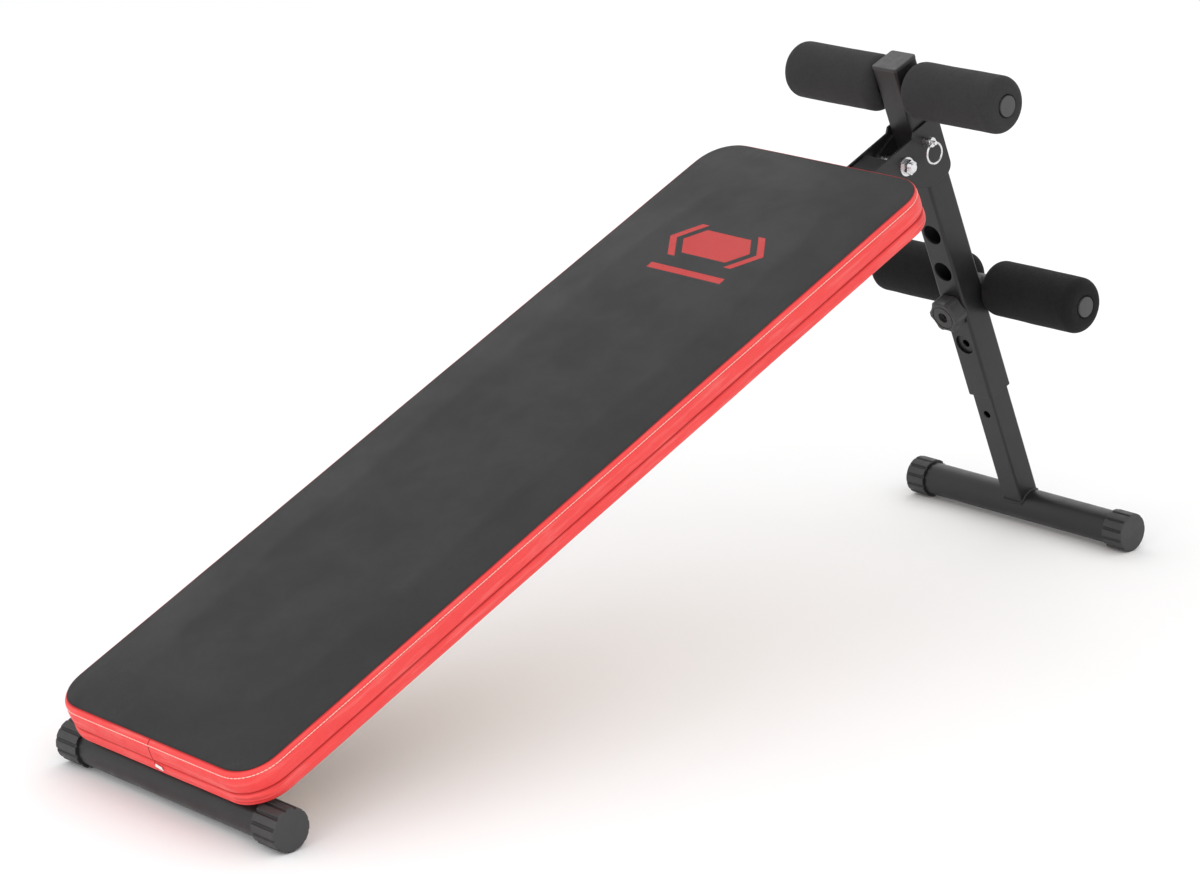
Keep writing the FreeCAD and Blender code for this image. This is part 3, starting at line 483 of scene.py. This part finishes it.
def foam(name, low, high):
    """Black closed-cell foam: matt, finely pitted, a little dusty."""
    s = Shader(name, roughness=0.93, specular=0.18, sheen=0.06)
    s.bsdf.inputs["Sheen Roughness"].default_value = 0.6
    s.bsdf.inputs["Sheen Tint"].default_value = (0.55, 0.55, 0.56, 1.0)
    pits = s.span(s.cells(780), 0.10, 0.42)
    skin = s.noise(1900, 3, 0.6)
    shade = s.mix(s.noise(26, 4, 0.6), low, high)
    s.set(Base_Color=s.mix(s.span(pits, 0.0, 1.0, 0.55, 0.0), shade, FOAM_PIT))
    s.set(Roughness=s.span(s.noise(200, 3), 0.3, 0.7, 0.86, 0.97))
    s.set(Normal=s.bump(s.calc("ADD", pits, s.calc("MULTIPLY", skin, 0.7)), 0.00022))
    return s.material


def pale_floor():
    """Seamless studio paper."""
    s = Shader("studio_paper", roughness=0.85, specular=0.15)
    s.set(Base_Color=s.mix(s.noise(3, 3), *PAPER))
    s.set(Normal=s.bump(s.noise(700, 2), 0.00003))
    return s.material


MATERIALS = {
    "frame_paint": powder_coat(),
    "zinc": zinc_plate(),
    "board_wood": plywood(),
    "pad_cover": black_cover(),
    "roller_foam": foam("roller_foam", *FOAM),
}
MATERIALS.update({name: moulded_plastic(name, *look) for name, look in PLASTICS.items()})
# the same foam painted lighter, as painted light on the upper rollers
FOAM_LIT_COPY = foam("roller_foam_dusty", *FOAM_PAINTED_LIGHT)
RED_COVER = red_cover()
LIGHT_THREAD = thread("light_thread", *THREAD)
WHITE_TAPE = thread("white_tape", *TAPE)

node_slots = {part["node"]: part["material_slot"] for part in frame["record"]["subparts"]}
for node, thing in frame["nodes"].items():
    thing.data.materials.clear()
    thing.data.materials.append(MATERIALS[node_slots[node]])


# ---------------------------------------------------------------- mesh helpers


def new_piece(name, points, faces, material, body=None, slot=None, place=None):
    """A smooth mesh object, which rides on a body if one is given."""
    mesh = bpy.data.meshes.new(name)
    mesh.from_pydata([tuple(p) for p in points], [], faces)
    mesh.update()
    piece = bpy.data.objects.new(name, mesh)
    bpy.context.scene.collection.objects.link(piece)
    if place is not None:
        piece.matrix_world = place
    mesh.materials.append(material)
    mesh.polygons.foreach_set("use_smooth", [True] * len(mesh.polygons))
    if body:
        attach(piece, body)
    return piece


def tube_along(points, radii, sides=8, closed=False):
    """Points and faces of a tube through points; open ends close to a cap."""
    count = len(points)
    verts, faces = [], []
    across = None
    for i, point in enumerate(points):
        back = points[i - 1] if closed or i else point
        ahead = points[(i + 1) % count] if closed or i < count - 1 else point
        heading = (ahead - back).normalized()
        if across is None:
            across = heading.orthogonal().normalized()
        across = (across - heading * across.dot(heading)).normalized()
        other = heading.cross(across)
        for k in range(sides):
            angle = 2 * math.pi * k / sides
            verts.append(point + radii[i] * (math.cos(angle) * across + math.sin(angle) * other))
    for i in range(count if closed else count - 1):
        a, b = i * sides, ((i + 1) % count) * sides
        for k in range(sides):
            m = (k + 1) % sides
            faces.append((a + k, a + m, b + m, b + k))
    if not closed:
        faces.append(tuple(reversed(range(sides))))
        faces.append(tuple(range((count - 1) * sides, count * sides)))
    return verts, faces


def joined(shapes):
    """Several (points, faces) as one."""
    verts, faces = [], []
    for points, loops in shapes:
        start = len(verts)
        verts.extend(points)
        faces.extend(tuple(i + start for i in loop) for loop in loops)
    return verts, faces


def set_crease(mesh, values):
    """How dark each point's seam is painted, as painted shade, for the materials to read."""
    attribute = mesh.attributes.new("crease", "FLOAT", "POINT")
    attribute.data.foreach_set("value", values)


def apply_modifiers(piece):
    """Make what the piece's modifiers give its own mesh."""
    graph = bpy.context.evaluated_depsgraph_get()
    mesh = bpy.data.meshes.new_from_object(piece.evaluated_get(graph), depsgraph=graph)
    old = piece.data
    piece.modifiers.clear()
    piece.data = mesh
    bpy.data.meshes.remove(old)


def subdivide(piece):
    made = piece.modifiers.new("smooth", "SUBSURF")
    made.levels = made.render_levels = 1
    apply_modifiers(piece)


# ---------------------------------------------------------------- pad cover


def side_point(along, across, fraction):
    """A point and the outward normal of the side that faces -Y of the pad's outline."""
    bend = PAD_CORNER * math.pi / 4
    straight = 2 * (along - PAD_CORNER)
    reach = fraction * (straight + 2 * bend) - bend
    turn = (min(reach, 0) + max(reach - straight, 0)) / PAD_CORNER
    normal = Vector((math.sin(turn), -math.cos(turn)))
    centre = Vector((min(max(reach, 0), straight) - straight / 2, PAD_CORNER - across))
    return centre + PAD_CORNER * normal, normal


def pad_ring():
    """Points and normals round the pad's outline, one for each edge cell of the top panel."""
    half_length, half_width = PAD_LENGTH / 2, PAD_WIDTH / 2
    ring = []
    for side in range(4):
        long_side = side % 2 == 0
        cells = CELLS_ALONG if long_side else CELLS_ACROSS
        sizes = (half_length, half_width) if long_side else (half_width, half_length)
        quarter = Matrix.Rotation(side * math.pi / 2, 2)
        for i in range(cells):
            point, normal = side_point(*sizes, i / cells)
            ring.append((quarter @ point, quarter @ normal))
    return ring


RING = pad_ring()
AROUND = len(RING)


def filled(ring_points, heights):
    """Inner points of a sheet that spans a ring, and its faces; ring points come first."""
    m, n = CELLS_ALONG, CELLS_ACROSS
    number = {}
    for i in range(m + 1):
        number[i, 0] = i
        number[i, n] = 2 * m + n - i
    for j in range(n + 1):
        number[m, j] = m + j
        number[0, j] = (2 * m + 2 * n - j) % (2 * m + 2 * n)

    def rim(i, j):
        return ring_points[number[i, j]]

    inner = []
    for i in range(1, m):
        u = i / m
        for j in range(1, n):
            v = j / n
            p = (1 - v) * rim(i, 0) + v * rim(i, n)
            p = p + (1 - u) * rim(0, j) + u * rim(m, j)
            p = p - (1 - u) * (1 - v) * rim(0, 0) - u * (1 - v) * rim(m, 0)
            p = p - (1 - u) * v * rim(0, n) - u * v * rim(m, n)
            number[i, j] = len(ring_points) + len(inner)
            inner.append(Vector((p.x, p.y, heights(p))))
    faces = []
    for i in range(m):
        for j in range(n):
            around = ((i, j), (i + 1, j), (i + 1, j + 1), (i, j + 1))
            faces.append(tuple(number[corner] for corner in around))
    return inner, faces


def band_rows():
    """Rows of the band from the top seam down and under the board.

    Each row is (inset, height, hold, crease), in mm: hold is how firmly the simulation keeps it,
    and crease is painted shade that darkens a seam. Heights at the stitched line are given as offsets from it.
    """
    top = PAD_HEIGHT / MM
    stitch, join = "stitch", JOIN_HEIGHT / MM
    return [
        (2.7, top - 1.9, 0.9, 1.0),
        (2.3, top - 2.3, 0.7, 0.5),
        (1.6, top - 3.1, 0.4, 0.0),
        (1.0, top - 4.3, 0.4, 0.0),
        (0.7, top - 5.4, 0.4, 0.0),
        (0.7, (stitch, 1.8), 0.6, 0.0),
        (1.5, (stitch, 0.0), 0.9, 0.35),
        (0.7, (stitch, -1.8), 0.6, 0.0),
        (0.2, (stitch, -4.8), 0.2, 0.0),
        (0.0, (stitch, -9.0), 0.1, 0.0),
        (0.2, join + 5.0, 0.2, 0.0),
        (0.5, join + 2.4, 0.5, 0.0),
        (1.4, join + 1.0, 0.8, 0.35),
        (3.0, join, 0.95, 1.0),
        (1.3, join - 1.0, 0.8, 0.35),
        (0.4, join - 2.4, 0.5, 0.0),
        (0.1, join - 4.6, 0.1, 0.0),
        (0.0, join - 8.2, 0.1, 0.0),
        (0.2, 4.4, 0.4, 0.0),
        (0.8, 1.8, 0.9, 0.0),
        (2.2, 0.0, 1.0, 0.0),
        (3.9, -0.9, 1.0, 0.0),
        (8.0, -1.1, 1.0, 0.0),
        (16.0, -1.1, 1.0, 0.0),
        (25.0, -1.1, 1.0, 0.0),
    ]


BAND_ROWS = band_rows()
STITCH_ROW = next(i for i, row in enumerate(BAND_ROWS) if row[1] == ("stitch", 0.0))


def uneven(position, wave_size, seed):
    """A smooth random length of at most the wave's own, at a place."""
    most, size = wave_size
    return most * wave(position, size, seed)


def wave(position, size, seed):
    """A smooth random number from -1 to 1 at a place."""
    return noise.noise(Vector((position[0] / size, position[1] / size, seed)))


def pad_shell():
    """The whole cover as one closed mesh before it swells: rings, top sheet, bottom sheet."""
    points, hold, crease = [], [], []
    for row, (inset, height, firm, dark) in enumerate(BAND_ROWS):
        for base, normal in RING:
            ends = abs(normal.x) ** 2
            z, shift = height, inset
            if isinstance(height, tuple):
                drop = STITCH_DROP_SIDE + (STITCH_DROP_END - STITCH_DROP_SIDE) * ends
                z = (PAD_HEIGHT - drop) / MM + height[1]
            z += uneven(base, UNEVEN_HEIGHT, 0.4 * row)
            shift += uneven(base, UNEVEN_INSET, 5 + 0.7 * row)
            if row < len(LOW_END_INSET):
                shift += max(0.0, -normal.x) ** 2 * LOW_END_INSET[row]
            if row == len(BAND_ROWS) - 1:
                shift += uneven(base, RAGGED_EDGE, 40)
            place = base - normal * min(shift * MM, PAD_CORNER - 0.0005)
            points.append(Vector((place.x, place.y, z * MM)))
            hold.append(firm)
            crease.append(dark)
    bands = []
    for row in range(len(BAND_ROWS) - 1):
        a, b = row * AROUND, (row + 1) * AROUND
        for i in range(AROUND):
            k = (i + 1) % AROUND
            bands.append((a + k, a + i, b + i, b + k))

    def crown(p):
        rise = (1 - (2 * p.x / PAD_LENGTH) ** 8) * (1 - (2 * p.y / PAD_WIDTH) ** 6)
        return PAD_HEIGHT - CROWN_DROP + CROWN_RISE * rise + CROWN_UNEVEN * wave(p, 0.09, 3)

    top_inner, top_faces = filled(points[:AROUND], crown)
    last = (len(BAND_ROWS) - 1) * AROUND
    low_inner, low_faces = filled(points[last:], lambda p: -SHEET_DROP)
    top_start = len(points)
    low_start = top_start + len(top_inner)
    for inner, firm in ((top_inner, 0.0), (low_inner, 1.0)):
        points += inner
        hold += [firm] * len(inner)
        crease += [0.0] * len(inner)

    def moved(face, ring_start, inner_start):
        return tuple(i + ring_start if i < AROUND else i - AROUND + inner_start for i in face)

    top = [moved(face, 0, top_start) for face in top_faces]
    low = [tuple(reversed(moved(face, last, low_start))) for face in low_faces]
    return points, hold, crease, top, bands, low


def swell(piece, hold, crease, limit):
    """Inflate the cover with the cloth solver, then keep each point within its limit."""
    start = [v.co.copy() for v in piece.data.vertices]
    pins = piece.vertex_groups.new(name="pins")
    seams = piece.vertex_groups.new(name="seams")
    for i, firm in enumerate(hold):
        pins.add([i], firm, "REPLACE")
        if crease[i] > 0.2 and i >= AROUND:
            seams.add([i], crease[i], "REPLACE")
    cloth = piece.modifiers.new("cloth", "CLOTH")
    settings = cloth.settings
    settings.quality = 6
    settings.mass = 0.25
    settings.tension_stiffness = settings.compression_stiffness = 30
    settings.shear_stiffness = 12
    settings.bending_stiffness = 1.5
    settings.tension_damping = settings.compression_damping = 12
    settings.effector_weights.gravity = 0
    settings.use_pressure = True
    settings.uniform_pressure_force = 4.0
    settings.vertex_group_mass = pins.name
    settings.pin_stiffness = 2.0
    settings.vertex_group_shrink = seams.name
    settings.shrink_min = 0.0
    settings.shrink_max = 0.035
    cloth.collision_settings.use_collision = False
    scene = bpy.context.scene
    cloth.point_cache.frame_start, cloth.point_cache.frame_end = 1, SWELL_STEPS
    for step in range(1, SWELL_STEPS + 1):
        scene.frame_set(step)
    apply_modifiers(piece)
    scene.frame_set(1)
    for vertex, before, most in zip(piece.data.vertices, start, limit):
        move = vertex.co - before
        if move.length > most:
            vertex.co = before + move.normalized() * most
    piece.data.update()


def keep_faces(piece, name, index, material):
    """A copy of the piece with only the faces that have this material index."""
    mesh = piece.data
    used, faces = {}, []
    for polygon in mesh.polygons:
        if polygon.material_index == index:
            faces.append(tuple(used.setdefault(i, len(used)) for i in polygon.vertices))
    points = [mesh.vertices[i].co for i in used]
    dark = mesh.attributes["crease"].data
    made = new_piece(name, points, faces, material, "bench_frame", "pad_cover", PAD)
    set_crease(made.data, [dark[i].value for i in used])
    return made


def pad_cover():
    """Black top panel and red band, swelled together and then taken apart along their seam.

    Returns the stitched line as (point, normal) pairs.
    """
    points, hold, crease, top, bands, low = pad_shell()
    shell = new_piece("pad_shell", points, top + bands + low, MATERIALS["pad_cover"])
    set_crease(shell.data, crease)
    indices = [0] * len(top) + [1] * len(bands) + [2] * len(low)
    for _ in range(2):
        shell.data.materials.append(RED_COVER)
    shell.data.polygons.foreach_set("material_index", indices)
    sheet_count = len(points) - AROUND * len(BAND_ROWS)
    limit = [SWELL_BAND] * (len(points) - sheet_count) + [SWELL_TOP] * sheet_count
    swell(shell, hold, crease, limit)
    subdivide(shell)
    verts = shell.data.vertices[STITCH_ROW * AROUND : (STITCH_ROW + 1) * AROUND]
    line = [(v.co.copy(), v.normal.copy()) for v in verts]
    panel = keep_faces(shell, "pad_cover_top", 0, MATERIALS["pad_cover"])
    band = keep_faces(shell, "pad_cover_band", 1, RED_COVER)
    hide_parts("pad_cushion")
    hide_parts("pad_cushion")
    bpy.data.objects.remove(shell)
    return line


def stitch_line(name, line, material):
    """Short threads laid end to end along a closed line of (point, normal)."""
    shapes = []
    travelled, due = 0.0, 0.0
    for i, (here, normal) in enumerate(line):
        there, next_normal = line[(i + 1) % len(line)]
        step = (there - here).length
        while due < travelled + step:
            share = (due - travelled) / step
            spot = here.lerp(there, share)
            out = normal.lerp(next_normal, share).normalized()
            heading = (there - here).normalized()
            spot = spot + out * STITCH_LIFT
            dip = out * (STITCH_LIFT + STITCH_RADIUS)
            end, flat = heading * STITCH_LENGTH * 0.5, heading * STITCH_LENGTH * 0.36
            path = [spot - end - dip, spot - flat, spot + flat, spot + end - dip]
            slant = heading.cross(out) * 0.00012 * random.uniform(-1, 1)
            path[1] += slant
            path[2] -= slant
            radii = [STITCH_RADIUS * share for share in (0.6, 1, 1, 0.6)]
            shapes.append(tube_along(path, radii, 6))
            due += STITCH_PITCH * random.uniform(0.96, 1.04)
        travelled += step
    new_piece(name, *joined(shapes), material, "bench_frame", "pad_cover", PAD)


def end_tape():
    """The short end of white tape that shows where the band's seams meet at the low end."""
    length, width, thick = 0.0120, 0.0056, 0.0005
    centre = Vector((-PAD_LENGTH / 2 - 0.0004, -0.0085, 0.0105))
    along, across = 9, 4  # points of each of its two layers
    points = []
    for layer in (0, 1):
        for i in range(along):
            for j in range(across):
                a, b = i / (along - 1) - 0.5, j / (across - 1) - 0.5
                arch = 0.0009 * math.cos(math.pi * b) * (1 - 0.4 * abs(a))
                bulge = arch + 0.0003 * wave((a, b), 0.3, 2)
                out = -bulge - layer * thick
                y = centre.y + a * length * (1 - 0.25 * b)
                z = centre.z + b * width + 0.0006 * math.sin(5 * a)
                points.append(Vector((centre.x + out, y, z)))
    faces = []
    layer_size, last = along * across, (along - 1) * across
    for i in range(along - 1):
        for j in range(across - 1):
            a = i * across + j
            b = a + across
            faces.append((a, b, b + 1, a + 1))
            faces.append(tuple(k + layer_size for k in (a, a + 1, b + 1, b)))
    rim = list(range(across)) + [i * across + across - 1 for i in range(1, along)]
    rim += list(range(last + across - 2, last - 1, -1)) + list(range(last - across, 0, -across))
    for k, a in enumerate(rim):
        b = rim[(k + 1) % len(rim)]
        faces.append((a, b, b + layer_size, a + layer_size))
    piece = new_piece("pad_tape_end", points, faces, WHITE_TAPE, place=PAD)
    subdivide(piece)
    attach(piece, "bench_frame")


def staples():
    """Staples that hold the band under the board."""
    shapes = []
    for i in range(0, AROUND, STAPLE_EVERY):
        base, normal = RING[i]
        spot = base - normal * (STAPLE_INSET + uneven(base, STAPLE_STRAY, 9))
        tangent = Vector((-normal.y, normal.x))
        slew = math.radians(random.uniform(-14, 14))
        tangent = Matrix.Rotation(slew, 2) @ tangent
        legs = [(-0.5, 0.0006), (-0.48, -0.0015), (0.48, -0.0015), (0.5, 0.0006)]
        path = [Vector((*(spot + tangent * a * STAPLE_WIDTH), z)) for a, z in legs]
        shapes.append(tube_along(path, [STAPLE_RADIUS] * len(path), 6))
    new_piece("pad_staples", *joined(shapes), MATERIALS["zinc"], "bench_frame", "zinc", PAD)


# ---------------------------------------------------------------- foam rollers


def foam_profile(length):
    """(radius, distance) pairs of a sleeve's section, from one mouth of its bore to the other."""
    flat = FOAM_RADIUS - FOAM_ROUND
    bends, steps = 9, 20
    end = [(FOAM_BORE + out, deep) for out, deep in FOAM_MOUTH] + [(flat - 0.0015, 0.0)]
    for i in range(bends):
        angle = math.pi / 2 * (i + 0.5) / bends
        end.append((flat + FOAM_ROUND * math.sin(angle), FOAM_ROUND * (1 - math.cos(angle))))
    start = FOAM_ROUND + 0.0005
    run = length - 2 * start
    straight = [(FOAM_RADIUS, start + run * i / steps) for i in range(steps + 1)]
    far = [(r, length - z) for r, z in reversed(end)]
    return end + straight + far


def foam_roller(node, body, seed, material):
    """A foam sleeve with rounded ends and slightly uneven skin."""
    low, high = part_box(node)
    length = high[1] - low[1]
    centre = middle(node)
    profile = foam_profile(length)
    shifts = (Vector((seed, 0, 0)), Vector((0, seed, 0)))
    points, faces = [], []
    for r, z in profile:
        soft = min(1.0, max(0.0, (r - FOAM_BORE - DENT_START) / DENT_GROW))
        for k in range(FOAM_SIDES):
            angle = 2 * math.pi * k / FOAM_SIDES
            spot = Vector((math.cos(angle), math.sin(angle), 0))
            where = Vector((spot.x * r, spot.y * r, z))
            dent = 0.0
            for (depth, size), shift in zip(DENTS, shifts):
                dent += depth * noise.noise(where / size + shift)
            points.append(where + spot * (dent - DENT_SINK) * soft - Vector((0, 0, length / 2)))
    rings = len(profile)
    for i in range(rings):
        a, b = i * FOAM_SIDES, ((i + 1) % rings) * FOAM_SIDES
        for k in range(FOAM_SIDES):
            m = (k + 1) % FOAM_SIDES
            faces.append((a + k, a + m, b + m, b + k))
    place = Matrix.Translation(centre) @ Matrix.Rotation(-math.pi / 2, 4, "X")
    roller = new_piece(node + "_skin", points, faces, material, place=place)
    subdivide(roller)
    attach(roller, body)
    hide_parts(node)


# ---------------------------------------------------------------- welds


def bead(name, path, radius, body, closed):
    """A rippled weld bead along a path."""
    fine = []
    count = len(path)
    for i in range(count if closed else count - 1):
        here, there = path[i], path[(i + 1) % count]
        steps = max(1, round((there - here).length / BEAD_STEP))
        fine += [here.lerp(there, k / steps) for k in range(steps)]
    if not closed:
        fine.append(path[-1])
    radii, travelled = [], 0.0
    for i, point in enumerate(fine):
        if i:
            travelled += (point - fine[i - 1]).length
        ripple = BEAD_RIPPLE[0] * abs(math.sin(math.pi * travelled / BEAD_RIPPLE[1]))
        lump = BEAD_LUMP[0] * noise.noise(point / BEAD_LUMP[1])
        ends = 1.0 if closed else min(1.0, 0.35 + 0.25 * min(i, len(fine) - 1 - i))
        radii.append(radius * (0.9 + ripple + lump) * ends)
    shape = tube_along(fine, radii, 8, closed)
    return new_piece(name, *shape, MATERIALS["frame_paint"], body, "frame_paint")


def square_round(side, corner, steps=5):
    """Points round a square with rounded corners, about its own middle."""
    half = side / 2 - corner
    points = []
    for quarter in range(4):
        centre = Matrix.Rotation(quarter * math.pi / 2, 2) @ Vector((half, half))
        for i in range(steps):
            angle = quarter * math.pi / 2 + math.pi / 2 * i / (steps - 1)
            points.append(centre + corner * Vector((math.cos(angle), math.sin(angle))))
    return points


def cope_path(run, origin, side, corner, foot_centre):
    """Where a square tube that runs along a direction from its origin meets a foot tube."""
    wide, tall = Vector((0, 1, 0)), run.cross(Vector((0, 1, 0)))
    path = []
    outline = square_round(side, corner)
    for i, point in enumerate(outline):
        following = outline[(i + 1) % len(outline)]
        pieces = max(1, round((following - point).length / 0.004))
        for k in range(pieces):
            spot = point.lerp(following, k / pieces)
            start = origin + wide * spot.x + tall * spot.y
            gap = start - foot_centre
            gap.y = 0
            b, c = gap.dot(run), gap.dot(gap) - FOOT_RADIUS**2
            reach = -b + math.sqrt(max(b * b - c, 0.0))
            path.append(start + run * reach)
    return path


def ring_path(centre, radius, count=40):
    """Points of a ring about Y."""
    axis = Vector((0, 1, 0))
    across = axis.orthogonal().normalized()
    other = axis.cross(across)
    angles = [2 * math.pi * i / count for i in range(count)]
    return [centre + radius * (math.cos(a) * across + math.sin(a) * other) for a in angles]


def welds():
    """Beads where the tubes and plates of the frame meet."""
    rail_start = PAD @ Vector((0, 0, -RAIL_DROP - TUBE_SIDE / 2))
    rail_run, leg_run = PAD.to_3x3().col[0], LEG.to_3x3().col[2]
    path = cope_path(rail_run, rail_start, TUBE_SIDE, TUBE_CORNER, middle("front_foot_tube"))
    bead("weld_front_foot", path, FOOT_BEAD, "bench_frame", True)
    rear = middle("rear_foot_tube")
    above = rear + leg_up * 0.1
    path = cope_path(leg_run, above, INNER_SIDE, INNER_CORNER, rear)
    bead("weld_rear_foot", path, LEG_BEAD, "leg_extension", True)
    upper = middle("upper_roller_tube")
    for name, side in SIDES.items():
        centre = upper + Vector((0, side * TUBE_SIDE / 2, 0))
        path = ring_path(centre, ROLLER_TUBE_RADIUS + 0.0002)
        bead(f"weld_upper_tube_{name}", path, ROLLER_BEAD, "leg", True)
        ahead, wall = CHEEK_START - PAD_MIDDLE - BEAD_OUT, side * (TUBE_SIDE / 2 + BEAD_OUT)
        heights = (-RAIL_DROP - TUBE_SIDE + 0.002, -0.0045)
        path = [PAD @ Vector((ahead, wall, height)) for height in heights]
        bead(f"weld_cheek_{name}", path, CHEEK_BEAD, "bench_frame", False)
    for node in ("pad_bar_low", "pad_bar_high"):
        centre = PAD.inverted() @ middle(node)
        for edge, way in BAR_EDGES.items():
            x = centre.x + way * BAR_HALF
            for name, side in SIDES.items():
                ends = (side * BAR_WELD_START, side * BAR_WELD_END)
                path = [PAD @ Vector((x, y, -RAIL_DROP)) for y in ends]
                bead(f"weld_{node}_{edge}_{name}", path, BAR_BEAD, "bench_frame", False)


# ---------------------------------------------------------------- stage


def lay_floor():
    size = FLOOR_HALF
    corners = [(-size, -size, 0), (size, -size, 0), (size, size, 0), (-size, size, 0)]
    floor = new_piece("floor", corners, [(0, 1, 2, 3)], pale_floor())


def light_sky():
    """Even white light from all round."""
    world = bpy.data.worlds.new("studio")
    bpy.context.scene.world = world
    world.use_nodes = True
    sky = world.node_tree.nodes["Background"]
    sky.inputs["Color"].default_value = (1.0, 1.0, 1.0, 1.0)
    sky.inputs["Strength"].default_value = SKY_STRENGTH


def softbox(name, place, target, width, height, power):
    """A rectangular lamp that faces its target."""
    light = bpy.data.lights.new(name, "AREA")
    light.shape = "RECTANGLE"
    light.size, light.size_y = width, height
    light.energy = power
    lamp = bpy.data.objects.new(name, light)
    lamp.location = place
    aim = Vector(target) - Vector(place)
    lamp.rotation_euler = aim.to_track_quat("-Z", "Y").to_euler()
    bpy.context.scene.collection.objects.link(lamp)


def set_camera():
    lens = bpy.data.cameras.new("camera")
    lens.lens, lens.sensor_width = CAMERA_LENS, SENSOR_WIDTH
    lens.clip_end = CAMERA_REACH
    camera = bpy.data.objects.new("camera", lens)
    yaw, pitch, roll = (math.radians(a) for a in (CAMERA_YAW, CAMERA_PITCH, CAMERA_ROLL))
    level = math.cos(pitch)
    ahead = Vector((math.cos(yaw) * level, math.sin(yaw) * level, math.sin(pitch)))
    right = ahead.cross(Vector((0, 0, 1))).normalized()
    up = right.cross(ahead)
    tilted = math.cos(roll) * right + math.sin(roll) * up
    camera.matrix_world = basis(CAMERA_PLACE, tilted, -ahead)
    bpy.context.scene.collection.objects.link(camera)
    bpy.context.scene.camera = camera


# ---------------------------------------------------------------- build

lay_floor()
light_sky()
for name, look in SOFTBOXES.items():
    softbox(name, *look)
set_camera()
bpy.context.scene.view_settings.view_transform = "Standard"

stitch_line("pad_stitches", pad_cover(), LIGHT_THREAD)
end_tape()
staples()
# the upper rollers get the copy of the foam painted lighter
for level, seed, skin in (("upper", 1, FOAM_LIT_COPY), ("lower", 3, MATERIALS["roller_foam"])):
    for name in SIDES:
        node = f"{level}_foam_{name}"
        foam_roller(node, node, seed + 7.3 * SIDES[name], skin)
welds()
